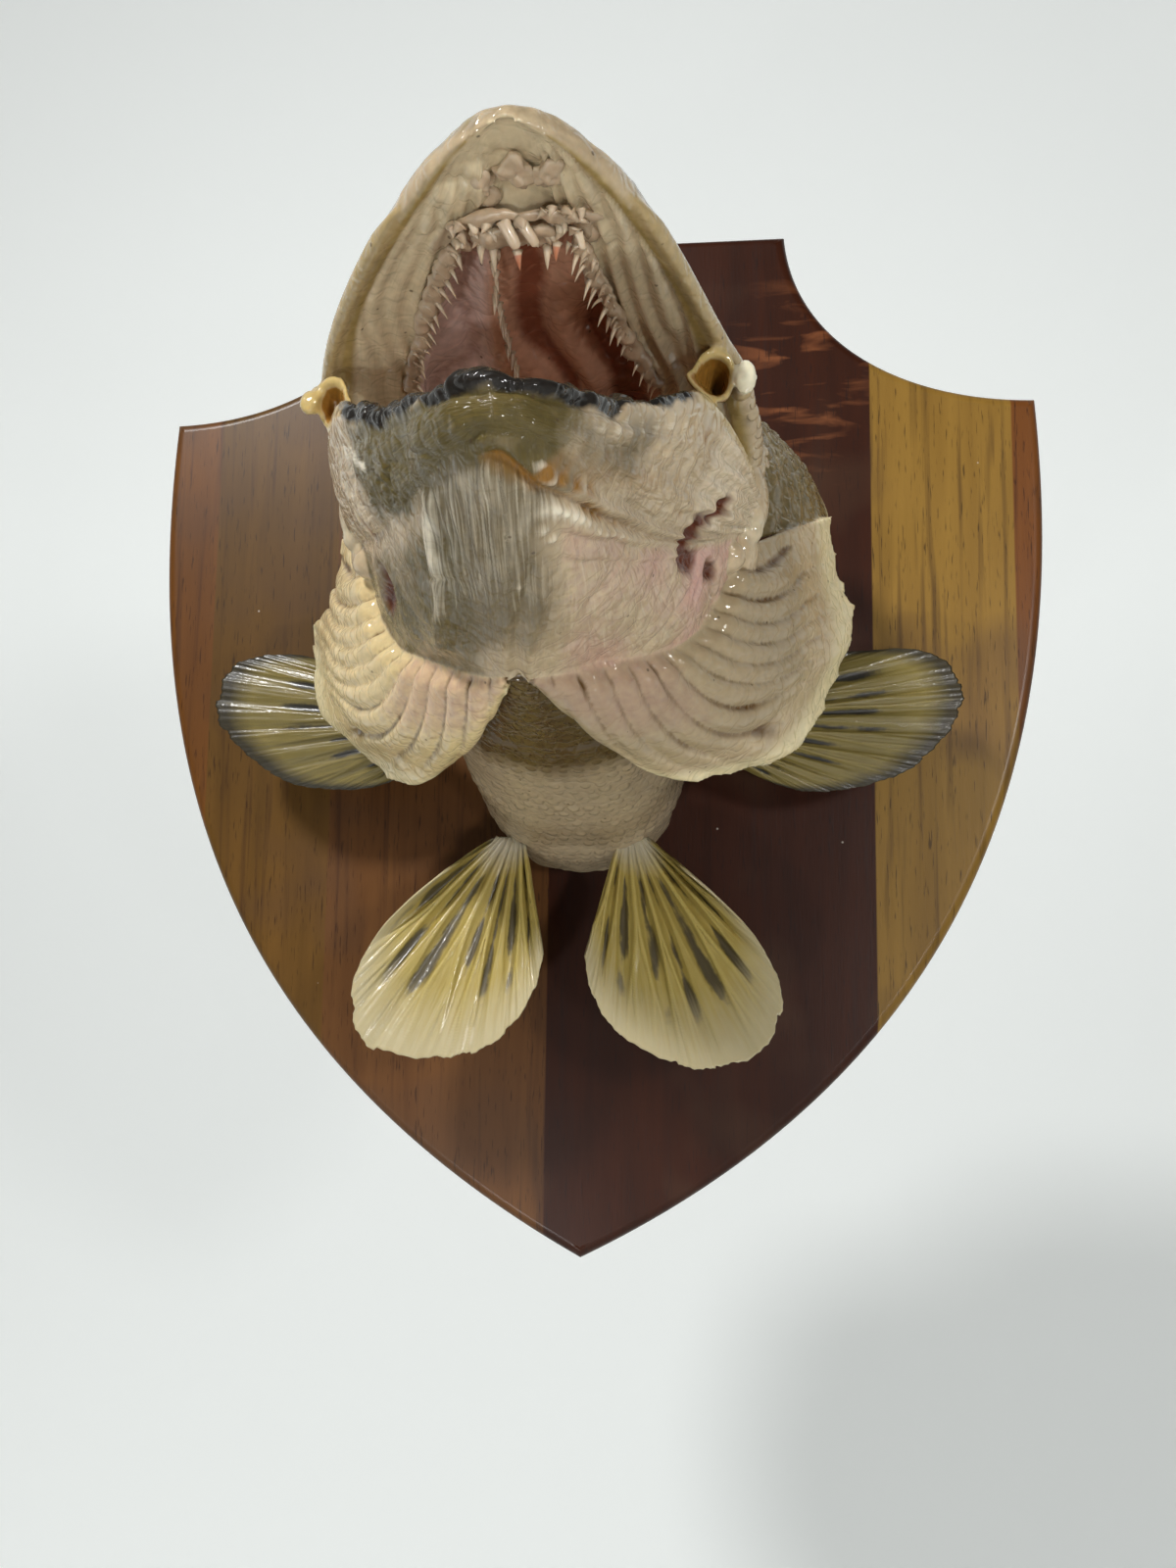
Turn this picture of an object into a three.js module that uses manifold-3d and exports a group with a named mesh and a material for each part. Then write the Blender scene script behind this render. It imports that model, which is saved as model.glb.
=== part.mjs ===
// Mounted trophy head of a northern pike on a wooden shield, life size, in millimetres.
// Frame: X to the right of a person facing the mount, Y into the wall, Z up.  The origin is
// the middle of the shield's flat back, which lies in the plane y = 0.  Shapes below are
// written as (x, out, z), where "out" is the distance out from the wall, so y = -out.

import * as THREE from 'three';
import { mergeVertices } from 'three/addons/utils/BufferGeometryUtils.js';
import Module from 'manifold-3d';

const wasm = await Module();
wasm.setup();
const { Manifold } = wasm;

// ---------------------------------------------------------------- driving sizes (mm)
const GAP = 0.3;             // clearance between neighbouring pieces
const BOARD_HALF = 150;      // half the shield's width at the shoulders
const BOARD_TOP = 172.5;     // height of the flat top edge above the origin
const BOARD_TIP = -173.5;    // height of the bottom point
const BOARD_SHOULDER = 111;  // height of the shoulder corners
const BOARD_CROWN = 67;      // half width of the flat top edge
const BOARD_THICK = 22;
const BOARD_BEVEL = 3.5;
// Control points (x, z) of the scooped shoulder and of the long curved flank.
const SCOOP = [[70, 135], [105, 112]];
const FLANK = [[158, 5], [136, -105]];

const NECK_CUT = BOARD_THICK + GAP; // where the neck meets the shield
const HEAD_CUT = 100;        // rear edge of the skull piece, front edge of the gill covers
const SNOUT_TIP = 234.3;     // tip of the upper jaw
const CHIN_TIP = 238;        // tip of the lower jaw, which juts past the upper one
const HEAD_SWING = 7.5;      // sideways turn of the snout to the right

const EYE_RADIUS = 10;
const EYE = { x: 26, out: 141, z: 76.5 };

// ---------------------------------------------------------------- small helpers
const P = (x, out, z) => new THREE.Vector3(x, -out, z);
const mix = (a, b, t) => a + (b - a) * t;
const clamp = (v, lo, hi) => Math.min(hi, Math.max(lo, v));

function smoothstep(lo, hi, v) {
  const t = clamp((v - lo) / (hi - lo), 0, 1);
  return t * t * (3 - 2 * t);
}

// Value of a smooth line through [position, value] stations given in rising order.
function station(table, at) {
  const last = table.length - 1;
  if (at <= table[0][0]) return table[0][1];
  if (at >= table[last][0]) return table[last][1];
  let k = 0;
  while (table[k + 1][0] < at) k += 1;
  const slope = (i) => {
    const lo = table[Math.max(i - 1, 0)];
    const hi = table[Math.min(i + 1, last)];
    return (hi[1] - lo[1]) / (hi[0] - lo[0]);
  };
  const span = table[k + 1][0] - table[k][0];
  const t = (at - table[k][0]) / span;
  const h = [(1 + 2 * t) * (1 - t) ** 2, t * (1 - t) ** 2, t * t * (3 - 2 * t), t * t * (t - 1)];
  return h[0] * table[k][1] + h[1] * span * slope(k)
    + h[2] * table[k + 1][1] + h[3] * span * slope(k + 1);
}

// The snout and chin are turned a little to the right of the neck.
const swing = (out) => HEAD_SWING * smoothstep(160, 238, out);
const swung = (v) => v.clone().setX(v.x + swing(-v.y));

const spaceCurve = (rows) => new THREE.CatmullRomCurve3(rows.map((r) => P(...r)), false, 'centripetal');

// Closed manifold from a vertex list and triangle list, turned to face outwards.
function toSolid(points, triangles) {
  let volume = 0;
  for (const [a, b, c] of triangles) {
    volume += points[a].dot(points[b].clone().cross(points[c]));
  }
  const tris = volume < 0 ? triangles.map(([a, b, c]) => [a, c, b]) : triangles;
  return new Manifold(new wasm.Mesh({
    numProp: 3,
    vertProperties: new Float32Array(points.flatMap((p) => [p.x, p.y, p.z])),
    triVerts: new Uint32Array(tris.flat()),
  }));
}

// Cap of a flat ring made of two mirrored halves, each a channel whose two walls meet at the
// middle of its run (a horseshoe): the walls are joined rung by rung.
function horseshoeCap(count) {
  const half = count / 2;
  const cap = [];
  for (const side of [1, -1]) {
    const id = (k) => (side > 0 ? k : (count - k) % count);
    for (let k = 0; k < half / 2; k += 1) {
      const [a, b, c, d] = [id(k), id(k + 1), id(half - k - 1), id(half - k)];
      if (b !== c) cap.push(side > 0 ? [a, b, c] : [a, c, b]);
      cap.push(side > 0 ? [a, c, d] : [a, d, c]);
    }
  }
  return cap;
}

// Skin stretched over a row of equal rings and closed at both ends.
function loft(rings, horseshoe = false) {
  const count = rings[0].length;
  const points = rings.flat();
  const tris = [];
  for (let r = 0; r + 1 < rings.length; r += 1) {
    for (let i = 0; i < count; i += 1) {
      const j = (i + 1) % count;
      const [a, b, c, d] = [r * count + i, r * count + j, (r + 1) * count + j, (r + 1) * count + i];
      tris.push([a, b, c], [a, c, d]);
    }
  }
  const lastRing = (rings.length - 1) * count;
  for (const [start, backwards] of [[0, true], [lastRing, false]]) {
    let cap;
    if (horseshoe) {
      cap = horseshoeCap(count).map((tri) => tri.map((i) => start + i));
    } else {
      const hub = points.length;
      const ring = points.slice(start, start + count);
      points.push(ring.reduce((sum, p) => sum.add(p), P(0, 0, 0)).divideScalar(count));
      cap = ring.map((_, i) => [hub, start + i, start + ((i + 1) % count)]);
    }
    tris.push(...(backwards ? cap.map(([a, b, c]) => [a, c, b]) : cap));
  }
  return toSolid(points, tris);
}

// Plate of even thickness about a grid of points, grid[i][j].  A positive "grow" swells
// it on every side, which makes the cutter that leaves a gap round it.
function plate(grid, thickness, grow = 0) {
  const rows = grid.length;
  const cols = grid[0].length;
  const at = (i, j) => grid[clamp(i, 0, rows - 1)][clamp(j, 0, cols - 1)];
  const half = thickness / 2 + grow;
  const faces = [[], []];
  for (let i = 0; i < rows; i += 1) {
    for (let j = 0; j < cols; j += 1) {
      const du = at(i + 1, j).clone().sub(at(i - 1, j)).normalize();
      const dv = at(i, j + 1).clone().sub(at(i, j - 1)).normalize();
      const n = du.clone().cross(dv).normalize();
      const p = at(i, j).clone();
      if (i === 0) p.addScaledVector(du, -grow);
      if (i === rows - 1) p.addScaledVector(du, grow);
      if (j === 0) p.addScaledVector(dv, -grow);
      if (j === cols - 1) p.addScaledVector(dv, grow);
      faces[0].push(p.clone().addScaledVector(n, half));
      faces[1].push(p.clone().addScaledVector(n, -half));
    }
  }
  const points = faces.flat();
  const side = rows * cols;
  const id = (i, j, s) => s * side + i * cols + j;
  const tris = [];
  const quad = (a, b, c, d) => tris.push([a, b, c], [a, c, d]);
  for (let i = 0; i + 1 < rows; i += 1) {
    for (let j = 0; j + 1 < cols; j += 1) {
      quad(id(i, j, 0), id(i + 1, j, 0), id(i + 1, j + 1, 0), id(i, j + 1, 0));
      quad(id(i, j, 1), id(i, j + 1, 1), id(i + 1, j + 1, 1), id(i + 1, j, 1));
    }
    quad(id(i, 0, 0), id(i, 0, 1), id(i + 1, 0, 1), id(i + 1, 0, 0));
    quad(id(i, cols - 1, 0), id(i + 1, cols - 1, 0), id(i + 1, cols - 1, 1), id(i, cols - 1, 1));
  }
  for (let j = 0; j + 1 < cols; j += 1) {
    quad(id(0, j, 0), id(0, j + 1, 0), id(0, j + 1, 1), id(0, j, 1));
    quad(id(rows - 1, j, 0), id(rows - 1, j, 1), id(rows - 1, j + 1, 1), id(rows - 1, j + 1, 0));
  }
  return toSolid(points, tris);
}

const largest = (solid) => solid.decompose().sort((a, b) => b.volume() - a.volume())[0];
const without = (solid, cutters) => largest(cutters.reduce((s, c) => s.subtract(c), solid));
const mirrored = (v, side) => (side > 0 ? v : v.clone().setX(-v.x));

// ---------------------------------------------------------------- shield-shaped board
const OUTLINE_STEPS = 14;
const SAW_EXTRA = 10;        // spare depth of the slab behind the wall plane, cut off again

function buildBoard() {
  const half = new THREE.Shape();
  half.moveTo(0, BOARD_TOP);
  half.lineTo(BOARD_CROWN, BOARD_TOP);
  half.bezierCurveTo(...SCOOP[0], ...SCOOP[1], BOARD_HALF, BOARD_SHOULDER);
  half.bezierCurveTo(...FLANK[0], ...FLANK[1], 0, BOARD_TIP);
  const right = half.getPoints(OUTLINE_STEPS);
  const left = right.slice(1, -1).reverse().map((p) => new THREE.Vector2(-p.x, p.y));
  const shield = new THREE.Shape([...right, ...left]);
  const slab = new THREE.ExtrudeGeometry(shield, {
    depth: BOARD_THICK + SAW_EXTRA,
    bevelThickness: BOARD_BEVEL,
    bevelSize: BOARD_BEVEL,
    bevelOffset: -BOARD_BEVEL,
    bevelSegments: 2,
    curveSegments: 1,
  });
  slab.rotateX(Math.PI / 2);
  slab.translate(0, SAW_EXTRA + BOARD_BEVEL, 0);
  const front = fromGeometry(slab);
  const box = front.boundingBox();
  return front.translate([0, -BOARD_THICK - box.min[1], 0]).trimByPlane([0, -1, 0], 0);
}

function fromGeometry(geometry) {
  const plain = geometry.clone();
  plain.deleteAttribute('normal');
  plain.deleteAttribute('uv');
  const merged = mergeVertices(plain, 1e-4);
  return new Manifold(new wasm.Mesh({
    numProp: 3,
    vertProperties: new Float32Array(merged.attributes.position.array),
    triVerts: new Uint32Array(merged.index.array),
  }));
}

// ---------------------------------------------------------------- neck
// Heights of the back and belly lines and the half width, by distance out from the wall.
const BACK_LINE = [[22, 60], [40, 71], [62, 83], [80, 88.5], [100, 91]];
const BELLY_LINE = [[22, -49.5], [40, -46], [62, -38], [80, -31], [100, -24], [120, -19], [140, -15],
  [164, -12]];
const NECK_HALF = [[22, 32], [40, 35.5], [62, 37], [80, 36.5], [100, 35]];
const NECK_STATIONS = [NECK_CUT, 31, 40, 51, 62, 74, 87, HEAD_CUT - GAP];
const NECK_SIDES = 28;
const NECK_WAIST = 0.36;     // height of the widest place, as a share of the neck's depth

function neckRing(out) {
  const top = station(BACK_LINE, out);
  const bottom = station(BELLY_LINE, out);
  const half = station(NECK_HALF, out);
  const waist = mix(bottom, top, NECK_WAIST);
  const ring = [];
  for (let i = 0; i < NECK_SIDES; i += 1) {
    const turn = (2 * Math.PI * i) / NECK_SIDES;
    const up = Math.sin(turn);
    const reach = up > 0 ? top - waist : waist - bottom;
    const wide = Math.sign(Math.cos(turn)) * Math.abs(Math.cos(turn)) ** (up > 0 ? 0.95 : 0.8);
    ring.push(P(half * wide, out, waist + reach * Math.sign(up) * Math.abs(up) ** 0.9));
  }
  return ring;
}

const buildNeck = () => loft(NECK_STATIONS.map(neckRing));

// Breast that narrows forward from the neck to the throat, between the gill covers.
const BREAST_HALF = [[100, 33], [112, 26.5], [124, 20], [136, 13.5], [148, 8.5], [160, 4]];
const BREAST_RISE = [[100, 70], [112, 46], [124, 30], [136, 19], [148, 11], [160, 5]];
const BREAST_SIDES = 12;

function buildBreast() {
  const rings = [];
  for (const out of [HEAD_CUT + GAP, 112, 124, 136, 148, 160]) {
    const bottom = station(BELLY_LINE, out);
    const half = station(BREAST_HALF, out);
    const rise = station(BREAST_RISE, out);
    const ring = [];
    for (let i = 0; i < BREAST_SIDES; i += 1) {
      const turn = (2 * Math.PI * i) / BREAST_SIDES;
      ring.push(swung(P(half * Math.cos(turn), out, bottom + rise * (0.5 + 0.5 * Math.sin(turn)))));
    }
    rings.push(ring);
  }
  return loft(rings);
}

// ---------------------------------------------------------------- skull and upper jaw
// The section is a horseshoe: roof above, the rims of the upper jaw (further back the
// cheeks) as its two legs, and the hollow of the palate between them.
const ROOF_LINE = [[100, 91], [120, 92], [140, 91], [155, 88.5], [170, 85], [185, 82], [200, 79.5],
  [215, 77], [226, 74.8], [231, 72.8], [234, 70.5]];
const ROOF_HALF = [[100, 33], [120, 31], [140, 27], [155, 25.5], [170, 25.5], [185, 23.5]];
const RIM_LINE = [[100, 36], [106, 40], [113, 44], [122, 48], [132, 52.5], [142, 56.5], [155, 59], [232, 67]];
const CHEEK_HALF = [[100, 53], [113, 54], [130, 53], [142, 51], [155, 48.3]];
const TOOTH_ROW = [[100, 27], [140, 29], [150, 28.5], [163, 24.5], [173, 21.5], [183, 18.7], [193, 15.5],
  [203, 11.4], [212, 6.5], [234, 2]];
const PALATE_LINE = [[100, 57], [120, 60], [155, 63], [232, 69]];

// How far above the rim the head is widest, and how far out its flank has come half way down.
const CHEEK_RISE = [[100, 24], [115, 18], [130, 9], [141, 5.5], [234, 5]];
const FLANK_REACH = [[100, 0.75], [120, 0.52], [141, 0.28], [162, 0.46], [185, 0.55]];

// Half width of the pointed arch of the upper jaw.
const archHalf = (out) => 3.3 * Math.max(SNOUT_TIP - out, 0.05) ** 0.61;

function rimHalf(out) {
  return mix(station(CHEEK_HALF, out), archHalf(out), smoothstep(148, 158, out));
}

function skullSection(out) {
  const snout = smoothstep(150, 190, out);
  const nose = smoothstep(218, 233, out);
  const top = station(ROOF_LINE, out);
  const rim = station(RIM_LINE, out);
  const wide = rimHalf(out);
  const roofHalf = Math.min(station(ROOF_HALF, out), wide * 0.8);
  const shoulder = top - mix(mix(6, 3.5, snout), 1.2, nose);
  const lip = mix(mix(7, 3.2, snout), 1.2, nose);
  const side = rim + mix(station(CHEEK_RISE, out), 1.2, nose);
  const row = Math.min(station(TOOTH_ROW, out), wide * 0.6);
  const palate = Math.min(station(PALATE_LINE, out), top - 2.4);
  const vault = Math.min(palate + mix(6, 0.6, smoothstep(192, 204, out)), top - 2);
  return {
    outer: [[0, top], [roofHalf * 0.55, top - 0.5], [roofHalf, shoulder],
      [mix(roofHalf, wide, station(FLANK_REACH, out)), mix(shoulder, side, 0.46)], [wide, side],
      [wide + mix(0.5, 0, nose), mix(rim, side, 0.35)], [wide - lip * 0.35, rim]],
    inner: [[wide - lip, rim + 0.6], [mix(wide - lip, row, 0.5), mix(rim, palate, 0.55)],
      [row + 1, palate - 0.6], [row - Math.min(2.5, row * 0.3), mix(palate, vault, 0.8)],
      [row * 0.45, vault], [0, vault - 0.3]],
  };
}

function skullRing(out) {
  const { outer, inner } = skullSection(out);
  const right = [...outer, ...inner];
  const left = right.slice(1, -1).reverse().map(([x, z]) => [-x, z]);
  return [...right, ...left].map(([x, z]) => swung(P(x, out, z)));
}

const SKULL_STATIONS = [HEAD_CUT, 107, 115, 124, 133, 142, 150, 157, 166, 176, 186, 195,
  203, 211, 219, 225.5, 230, 232.8, 234.1];

const buildSkull = () => loft(SKULL_STATIONS.map(skullRing), true);

const EYE_SEGMENTS = 16;

function eyeball(side, grow = 0) {
  return Manifold.sphere(EYE_RADIUS + grow, EYE_SEGMENTS).translate([EYE.x * side, -EYE.out, EYE.z]);
}

// Upper-jaw bone along each side of the mouth, a rod under the rim that ends in a knob.
const MAXILLA_STATIONS = [214, 204, 194, 184, 174, 165, 157];
const MAXILLA_END = [[49.0, 152, 59.2], [50.2, 148, 57.6]];
const MAXILLA_STEPS = 15;
const ROD = { wide: 1.9, tall: 2.4 };
const KNOB = { wide: 3.0, tall: 4.2, at: 0.95, spread: 0.05 };
const ROD_TAPER = 0.12;      // share of the length over which the front end thins out

function buildMaxilla(side, grow = 0) {
  const rows = MAXILLA_STATIONS.map((out) => [rimHalf(out) + 0.6, out, station(RIM_LINE, out) + 1.2]);
  const points = [...rows, ...MAXILLA_END].map((row) => swung(mirrored(P(...row), side)));
  const path = new THREE.CatmullRomCurve3(points, false, 'centripetal');
  return sweep(path, MAXILLA_STEPS, (t) => {
    const knob = Math.exp(-(((t - KNOB.at) / KNOB.spread) ** 2));
    const taper = Math.sqrt(clamp(t / ROD_TAPER, 0.05, 1));
    return {
      wide: taper * mix(ROD.wide, KNOB.wide, knob) + grow,
      tall: taper * mix(ROD.tall, KNOB.tall, knob) + grow,
    };
  }, grow);
}

// Tube of oval section along a space curve.  "size(t)" gives its half width across and
// half height; the height direction is kept as near to straight up as the curve allows.
function sweep(path, steps, size, grow = 0, sides = 8) {
  const rings = [];
  for (let k = 0; k <= steps; k += 1) {
    const t = k / steps;
    const along = path.getTangent(t);
    const across = along.clone().cross(P(0, 0, 1)).normalize();
    const up = across.clone().cross(along).normalize();
    const { wide, tall } = size(t);
    const centre = path.getPoint(t);
    if (k === 0) centre.addScaledVector(along, -grow);
    if (k === steps) centre.addScaledVector(along, grow);
    const ring = [];
    for (let i = 0; i < sides; i += 1) {
      const turn = (2 * Math.PI * i) / sides;
      ring.push(centre.clone().addScaledVector(across, wide * Math.cos(turn))
        .addScaledVector(up, tall * Math.sin(turn)));
    }
    rings.push(ring);
  }
  return loft(rings);
}

// ---------------------------------------------------------------- teeth of the palate
// A low bar of bone with backward-leaning teeth joined to it.
function tooth(root, tip, radius) {
  const axis = tip.clone().sub(root);
  const turn = new THREE.Quaternion().setFromUnitVectors(P(0, 0, 1), axis.clone().normalize());
  const ring = [];
  for (let i = 0; i < 4; i += 1) {
    const a = (2 * Math.PI * i) / 4;
    ring.push(P(radius * Math.cos(a), radius * Math.sin(a), 0).applyQuaternion(turn));
  }
  const base = ring.map((p) => p.clone().add(root));
  const end = ring.map((p) => p.clone().multiplyScalar(0.25).add(tip));
  return loft([base, end]);
}

const ROW_STATIONS = [203, 196, 189, 182, 175, 168, 161, 154, 148];
const ROW_STEPS = 10;
const ROW_SIDES = 6;
const ROW_TEETH = 8;

function toothRow(side) {
  const bar = ROW_STATIONS.map((out) => swung(mirrored(
    P(station(TOOTH_ROW, out) + 0.4, out, station(PALATE_LINE, out) - 2.6), side)));
  const teeth = [];
  const path = new THREE.CatmullRomCurve3(bar, false, 'centripetal');
  const size = (t) => ({ wide: mix(2.6, 1.3, t), tall: mix(1.6, 0.9, t) });
  const solid = sweep(path, ROW_STEPS, size, 0, ROW_SIDES);
  for (let k = 0; k < ROW_TEETH; k += 1) {
    const t = mix(0.04, 0.94, k / (ROW_TEETH - 1));
    const root = path.getPoint(t);
    const length = mix(5.6, 3.2, t) * (k % 2 ? 0.8 : 1);
    const tip = root.clone().add(P(-side * 1.6, -2.4, -length));
    teeth.push(tooth(root, tip, mix(1.1, 0.75, t)));
  }
  return teeth.reduce((s, c) => s.add(c), solid);
}

// Tooth patch on the vomer, just behind the front of the upper jaw: a flat pad given by
// [out, half width] and fangs given by [x, out, length].
const PAD_ROWS = [[219, 3], [216, 6.5], [212, 8.5], [207.5, 9.5], [204.5, 8]];
const PAD_SIDES = 10;
const FRONT_FANGS = [[-6, 208, 5.5], [-2.2, 206.5, 7.5], [1.8, 207, 8], [5.6, 208, 6], [-3.8, 213, 4.5],
  [0.2, 214, 5], [4, 213, 4.5]];

function frontTeeth() {
  const pad = [];
  for (const [out, half] of PAD_ROWS) {
    const z = station(PALATE_LINE, out);
    const ring = [];
    for (let i = 0; i < PAD_SIDES; i += 1) {
      const turn = (2 * Math.PI * i) / PAD_SIDES;
      ring.push(swung(P(half * Math.cos(turn), out, z - 2.4 + 1.5 * Math.sin(turn))));
    }
    pad.push(ring);
  }
  let solid = loft(pad);
  for (const [x, out, length] of FRONT_FANGS) {
    const root = swung(P(x, out, station(PALATE_LINE, out) - 2.8));
    solid = solid.add(tooth(root, root.clone().add(P(x * 0.12, -3, -length)), 1.2));
  }
  return solid;
}

// ---------------------------------------------------------------- lower jaw and throat
// Rows run from the chin back to the jaw joint: [half width, out, height].
const LIP_ROWS = [[0, CHIN_TIP - 0.5, 22], [7, 233.5, 23.2], [13.5, 223.5, 26.2], [19, 213, 29.8],
  [25, 202, 34], [32.5, 190, 40], [38.5, 178, 45.5], [43.5, 165, 47], [48, 150, 46], [51, 132, 45],
  [52.5, 115, 43]];
const JAW_EDGE_ROWS = [[0, 236, 13], [6, 231.5, 12.8], [11, 222, 13], [14.5, 212, 13.6], [18, 202, 14.5],
  [22, 190, 15.8], [27, 176, 18], [34, 158, 21.5], [41, 140, 26.5], [46.5, 124, 32], [49.5, 113, 36.5]];
// Line along which the gill membranes hang from the throat, from the middle to the joint.
const HINGE_ROWS = [[0, 165, -12], [7, 160, -10.5], [17, 151, -6.5], [25, 143.5, -2.5], [32, 135.5, 1.5],
  [38.5, 129, 8.5], [42.5, 124, 17.5], [45.5, 120.5, 25], [48.5, 116.5, 32]];

// Curve over both halves of the jaw; 0 is the left joint, 0.5 the middle, 1 the right joint.
function bothSides(rows) {
  const left = rows.slice(1).reverse().map(([x, out, z]) => [-x, out, z]);
  const curve = spaceCurve([...left, ...rows]);
  return (t) => swung(curve.getPoint(t));
}

const lipLine = bothSides(LIP_ROWS);
const jawEdge = bothSides(JAW_EDGE_ROWS);
const hinge = bothSides(HINGE_ROWS);
const JAW_STEPS = 30;
const JAW_SIDES = 10;
const JAW_HALF = 3.4;        // half the thickness of the jaw's wall

function buildLowerJaw(grow = 0) {
  const rings = [];
  for (let k = 0; k <= JAW_STEPS; k += 1) {
    const t = k / JAW_STEPS;
    const [lip, edge] = [lipLine(t), jawEdge(t)];
    const centre = lip.clone().add(edge).multiplyScalar(0.5);
    const tall = lip.distanceTo(edge) / 2 + grow;
    const up = lip.clone().sub(edge).normalize();
    const [before, after] = [Math.max(t - 0.01, 0), Math.min(t + 0.01, 1)];
    const along = lipLine(after).add(jawEdge(after)).sub(lipLine(before)).sub(jawEdge(before)).normalize();
    const inward = along.clone().cross(up).normalize();
    if (k === 0) centre.addScaledVector(along, -grow);
    if (k === JAW_STEPS) centre.addScaledVector(along, grow);
    const wide = JAW_HALF + grow;
    const ring = [];
    for (let i = 0; i < JAW_SIDES; i += 1) {
      const turn = (2 * Math.PI * i) / JAW_SIDES;
      ring.push(centre.clone().addScaledVector(inward, wide * Math.cos(turn))
        .addScaledVector(up, tall * Math.sin(turn)));
    }
    rings.push(ring);
  }
  return loft(rings);
}

const THROAT_THICK = 3.6;
const THROAT_SAG = 3.2;
const THROAT_CELLS = [22, 5];

function buildThroat(grow = 0) {
  const [across, back] = THROAT_CELLS;
  const grid = [];
  for (let k = 0; k <= across; k += 1) {
    const t = mix(0.035, 0.965, k / across);
    const [front, rear] = [jawEdge(t), hinge(t)];
    const row = [];
    for (let j = 0; j <= back; j += 1) {
      const s = mix(0.04, 1, j / back);
      const point = front.clone().lerp(rear, s);
      point.z += THROAT_THICK / 2 - THROAT_SAG * Math.sin(Math.PI * s) * Math.sin(Math.PI * t);
      row.push(point);
    }
    grid.push(row);
  }
  return plate(grid, THROAT_THICK, grow);
}

// Rows from the tip backwards: [out, half width, underside, top].
const TONGUE_ROWS = [[219, 1.5, 13.5, 15], [214, 4.5, 11, 16.5], [203, 7.5, 6, 14.5], [190, 10, 0, 12],
  [175, 12, -4, 11], [158, 13.5, -5, 11], [140, 14, -4, 12], [122, 14, -2, 13]];
const TONGUE_SIDES = 10;

function buildTongue() {
  const rings = [];
  for (const [out, half, low, high] of TONGUE_ROWS) {
    const ring = [];
    for (let i = 0; i < TONGUE_SIDES; i += 1) {
      const turn = (2 * Math.PI * i) / TONGUE_SIDES;
      const z = mix(low, high, 0.5 + 0.5 * Math.sign(Math.sin(turn)) * Math.abs(Math.sin(turn)) ** 0.6);
      ring.push(swung(P(half * Math.cos(turn), out, z)));
    }
    rings.push(ring);
  }
  return loft(rings);
}

// ---------------------------------------------------------------- gill covers
const COVER_FRONT = [[38, 99.4, 84], [45, 99.4, 77], [49.5, 99.4, 67], [51, 99.4, 56], [50.5, 100.5, 45.5],
  [49, 103, 37.5]];
const COVER_RIM = [[50, 66, 82], [60, 60, 80.5], [68.5, 57, 75.5], [74.5, 57, 66], [77, 60, 58],
  [75.5, 68, 52.5]];
const COVER_THICK = 2.4;
const COVER_BULGE = 3.5;
const COVER_CELLS = [8, 5];
const LEFT_COVER_TUCK = 5;   // the left cover stands out a little less than the right

function buildGillCover(side) {
  const [front, rim] = [spaceCurve(COVER_FRONT), spaceCurve(COVER_RIM)];
  const [down, back] = COVER_CELLS;
  const grid = [];
  for (let k = 0; k <= down; k += 1) {
    const row = [];
    for (let j = 0; j <= back; j += 1) {
      const s = j / back;
      const point = front.getPoint(k / down).lerp(rim.getPoint(k / down), s);
      point.x += COVER_BULGE * Math.sin(Math.PI * s) - (side < 0 ? LEFT_COVER_TUCK * s : 0);
      row.push(mirrored(point, side));
    }
    grid.push(row);
  }
  return plate(grid, COVER_THICK).trimByPlane([0, 1, 0], GAP - HEAD_CUT);
}

// Each ray of the gill membrane leaves the hinge line at "root" (0 the middle of the throat,
// 1 the jaw joint), sags by "sag" and ends on the free margin at [half width, out, height].
const GILL_RAYS = [
  { root: 0.96, sag: [0, 2, -4], end: [74.5, 72.5, 50.5] },
  { root: 0.875, sag: [0, 4, -13], end: [78.5, 67, 44] },
  { root: 0.76, sag: [0, 4, -18], end: [81.5, 64.5, 36] },
  { root: 0.69, sag: [0, 4, -20], end: [82.5, 64, 28] },
  { root: 0.625, sag: [0, 4, -20], end: [82, 64.5, 18] },
  { root: 0.56, sag: [-1, 4, -19], end: [79, 67, 7] },
  { root: 0.5, sag: [-2, 4, -17], end: [74, 71.5, -4] },
  { root: 0.44, sag: [-4, 4, -14], end: [66, 77.5, -14] },
  { root: 0.38, sag: [-6, 4, -12], end: [56.5, 84, -20.5] },
  { root: 0.32, sag: [-8, 4, -10], end: [47, 91, -25] },
  { root: 0.25, sag: [-8, 3, -8], end: [37.5, 98.5, -27] },
  { root: 0.18, sag: [-5, 2, -6], end: [25.5, 111, -24] },
  { root: 0.11, sag: [-2, 1, -3], end: [13, 134, -17] },
  { root: 0.045, sag: [0, 0, 0], end: [3.2, 160, -12.8] },
];
const GILL_THICK = 1.5;
const PLEAT = 0.9;           // height of the folds between the rays
const FAN_STEPS = 6;

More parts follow.
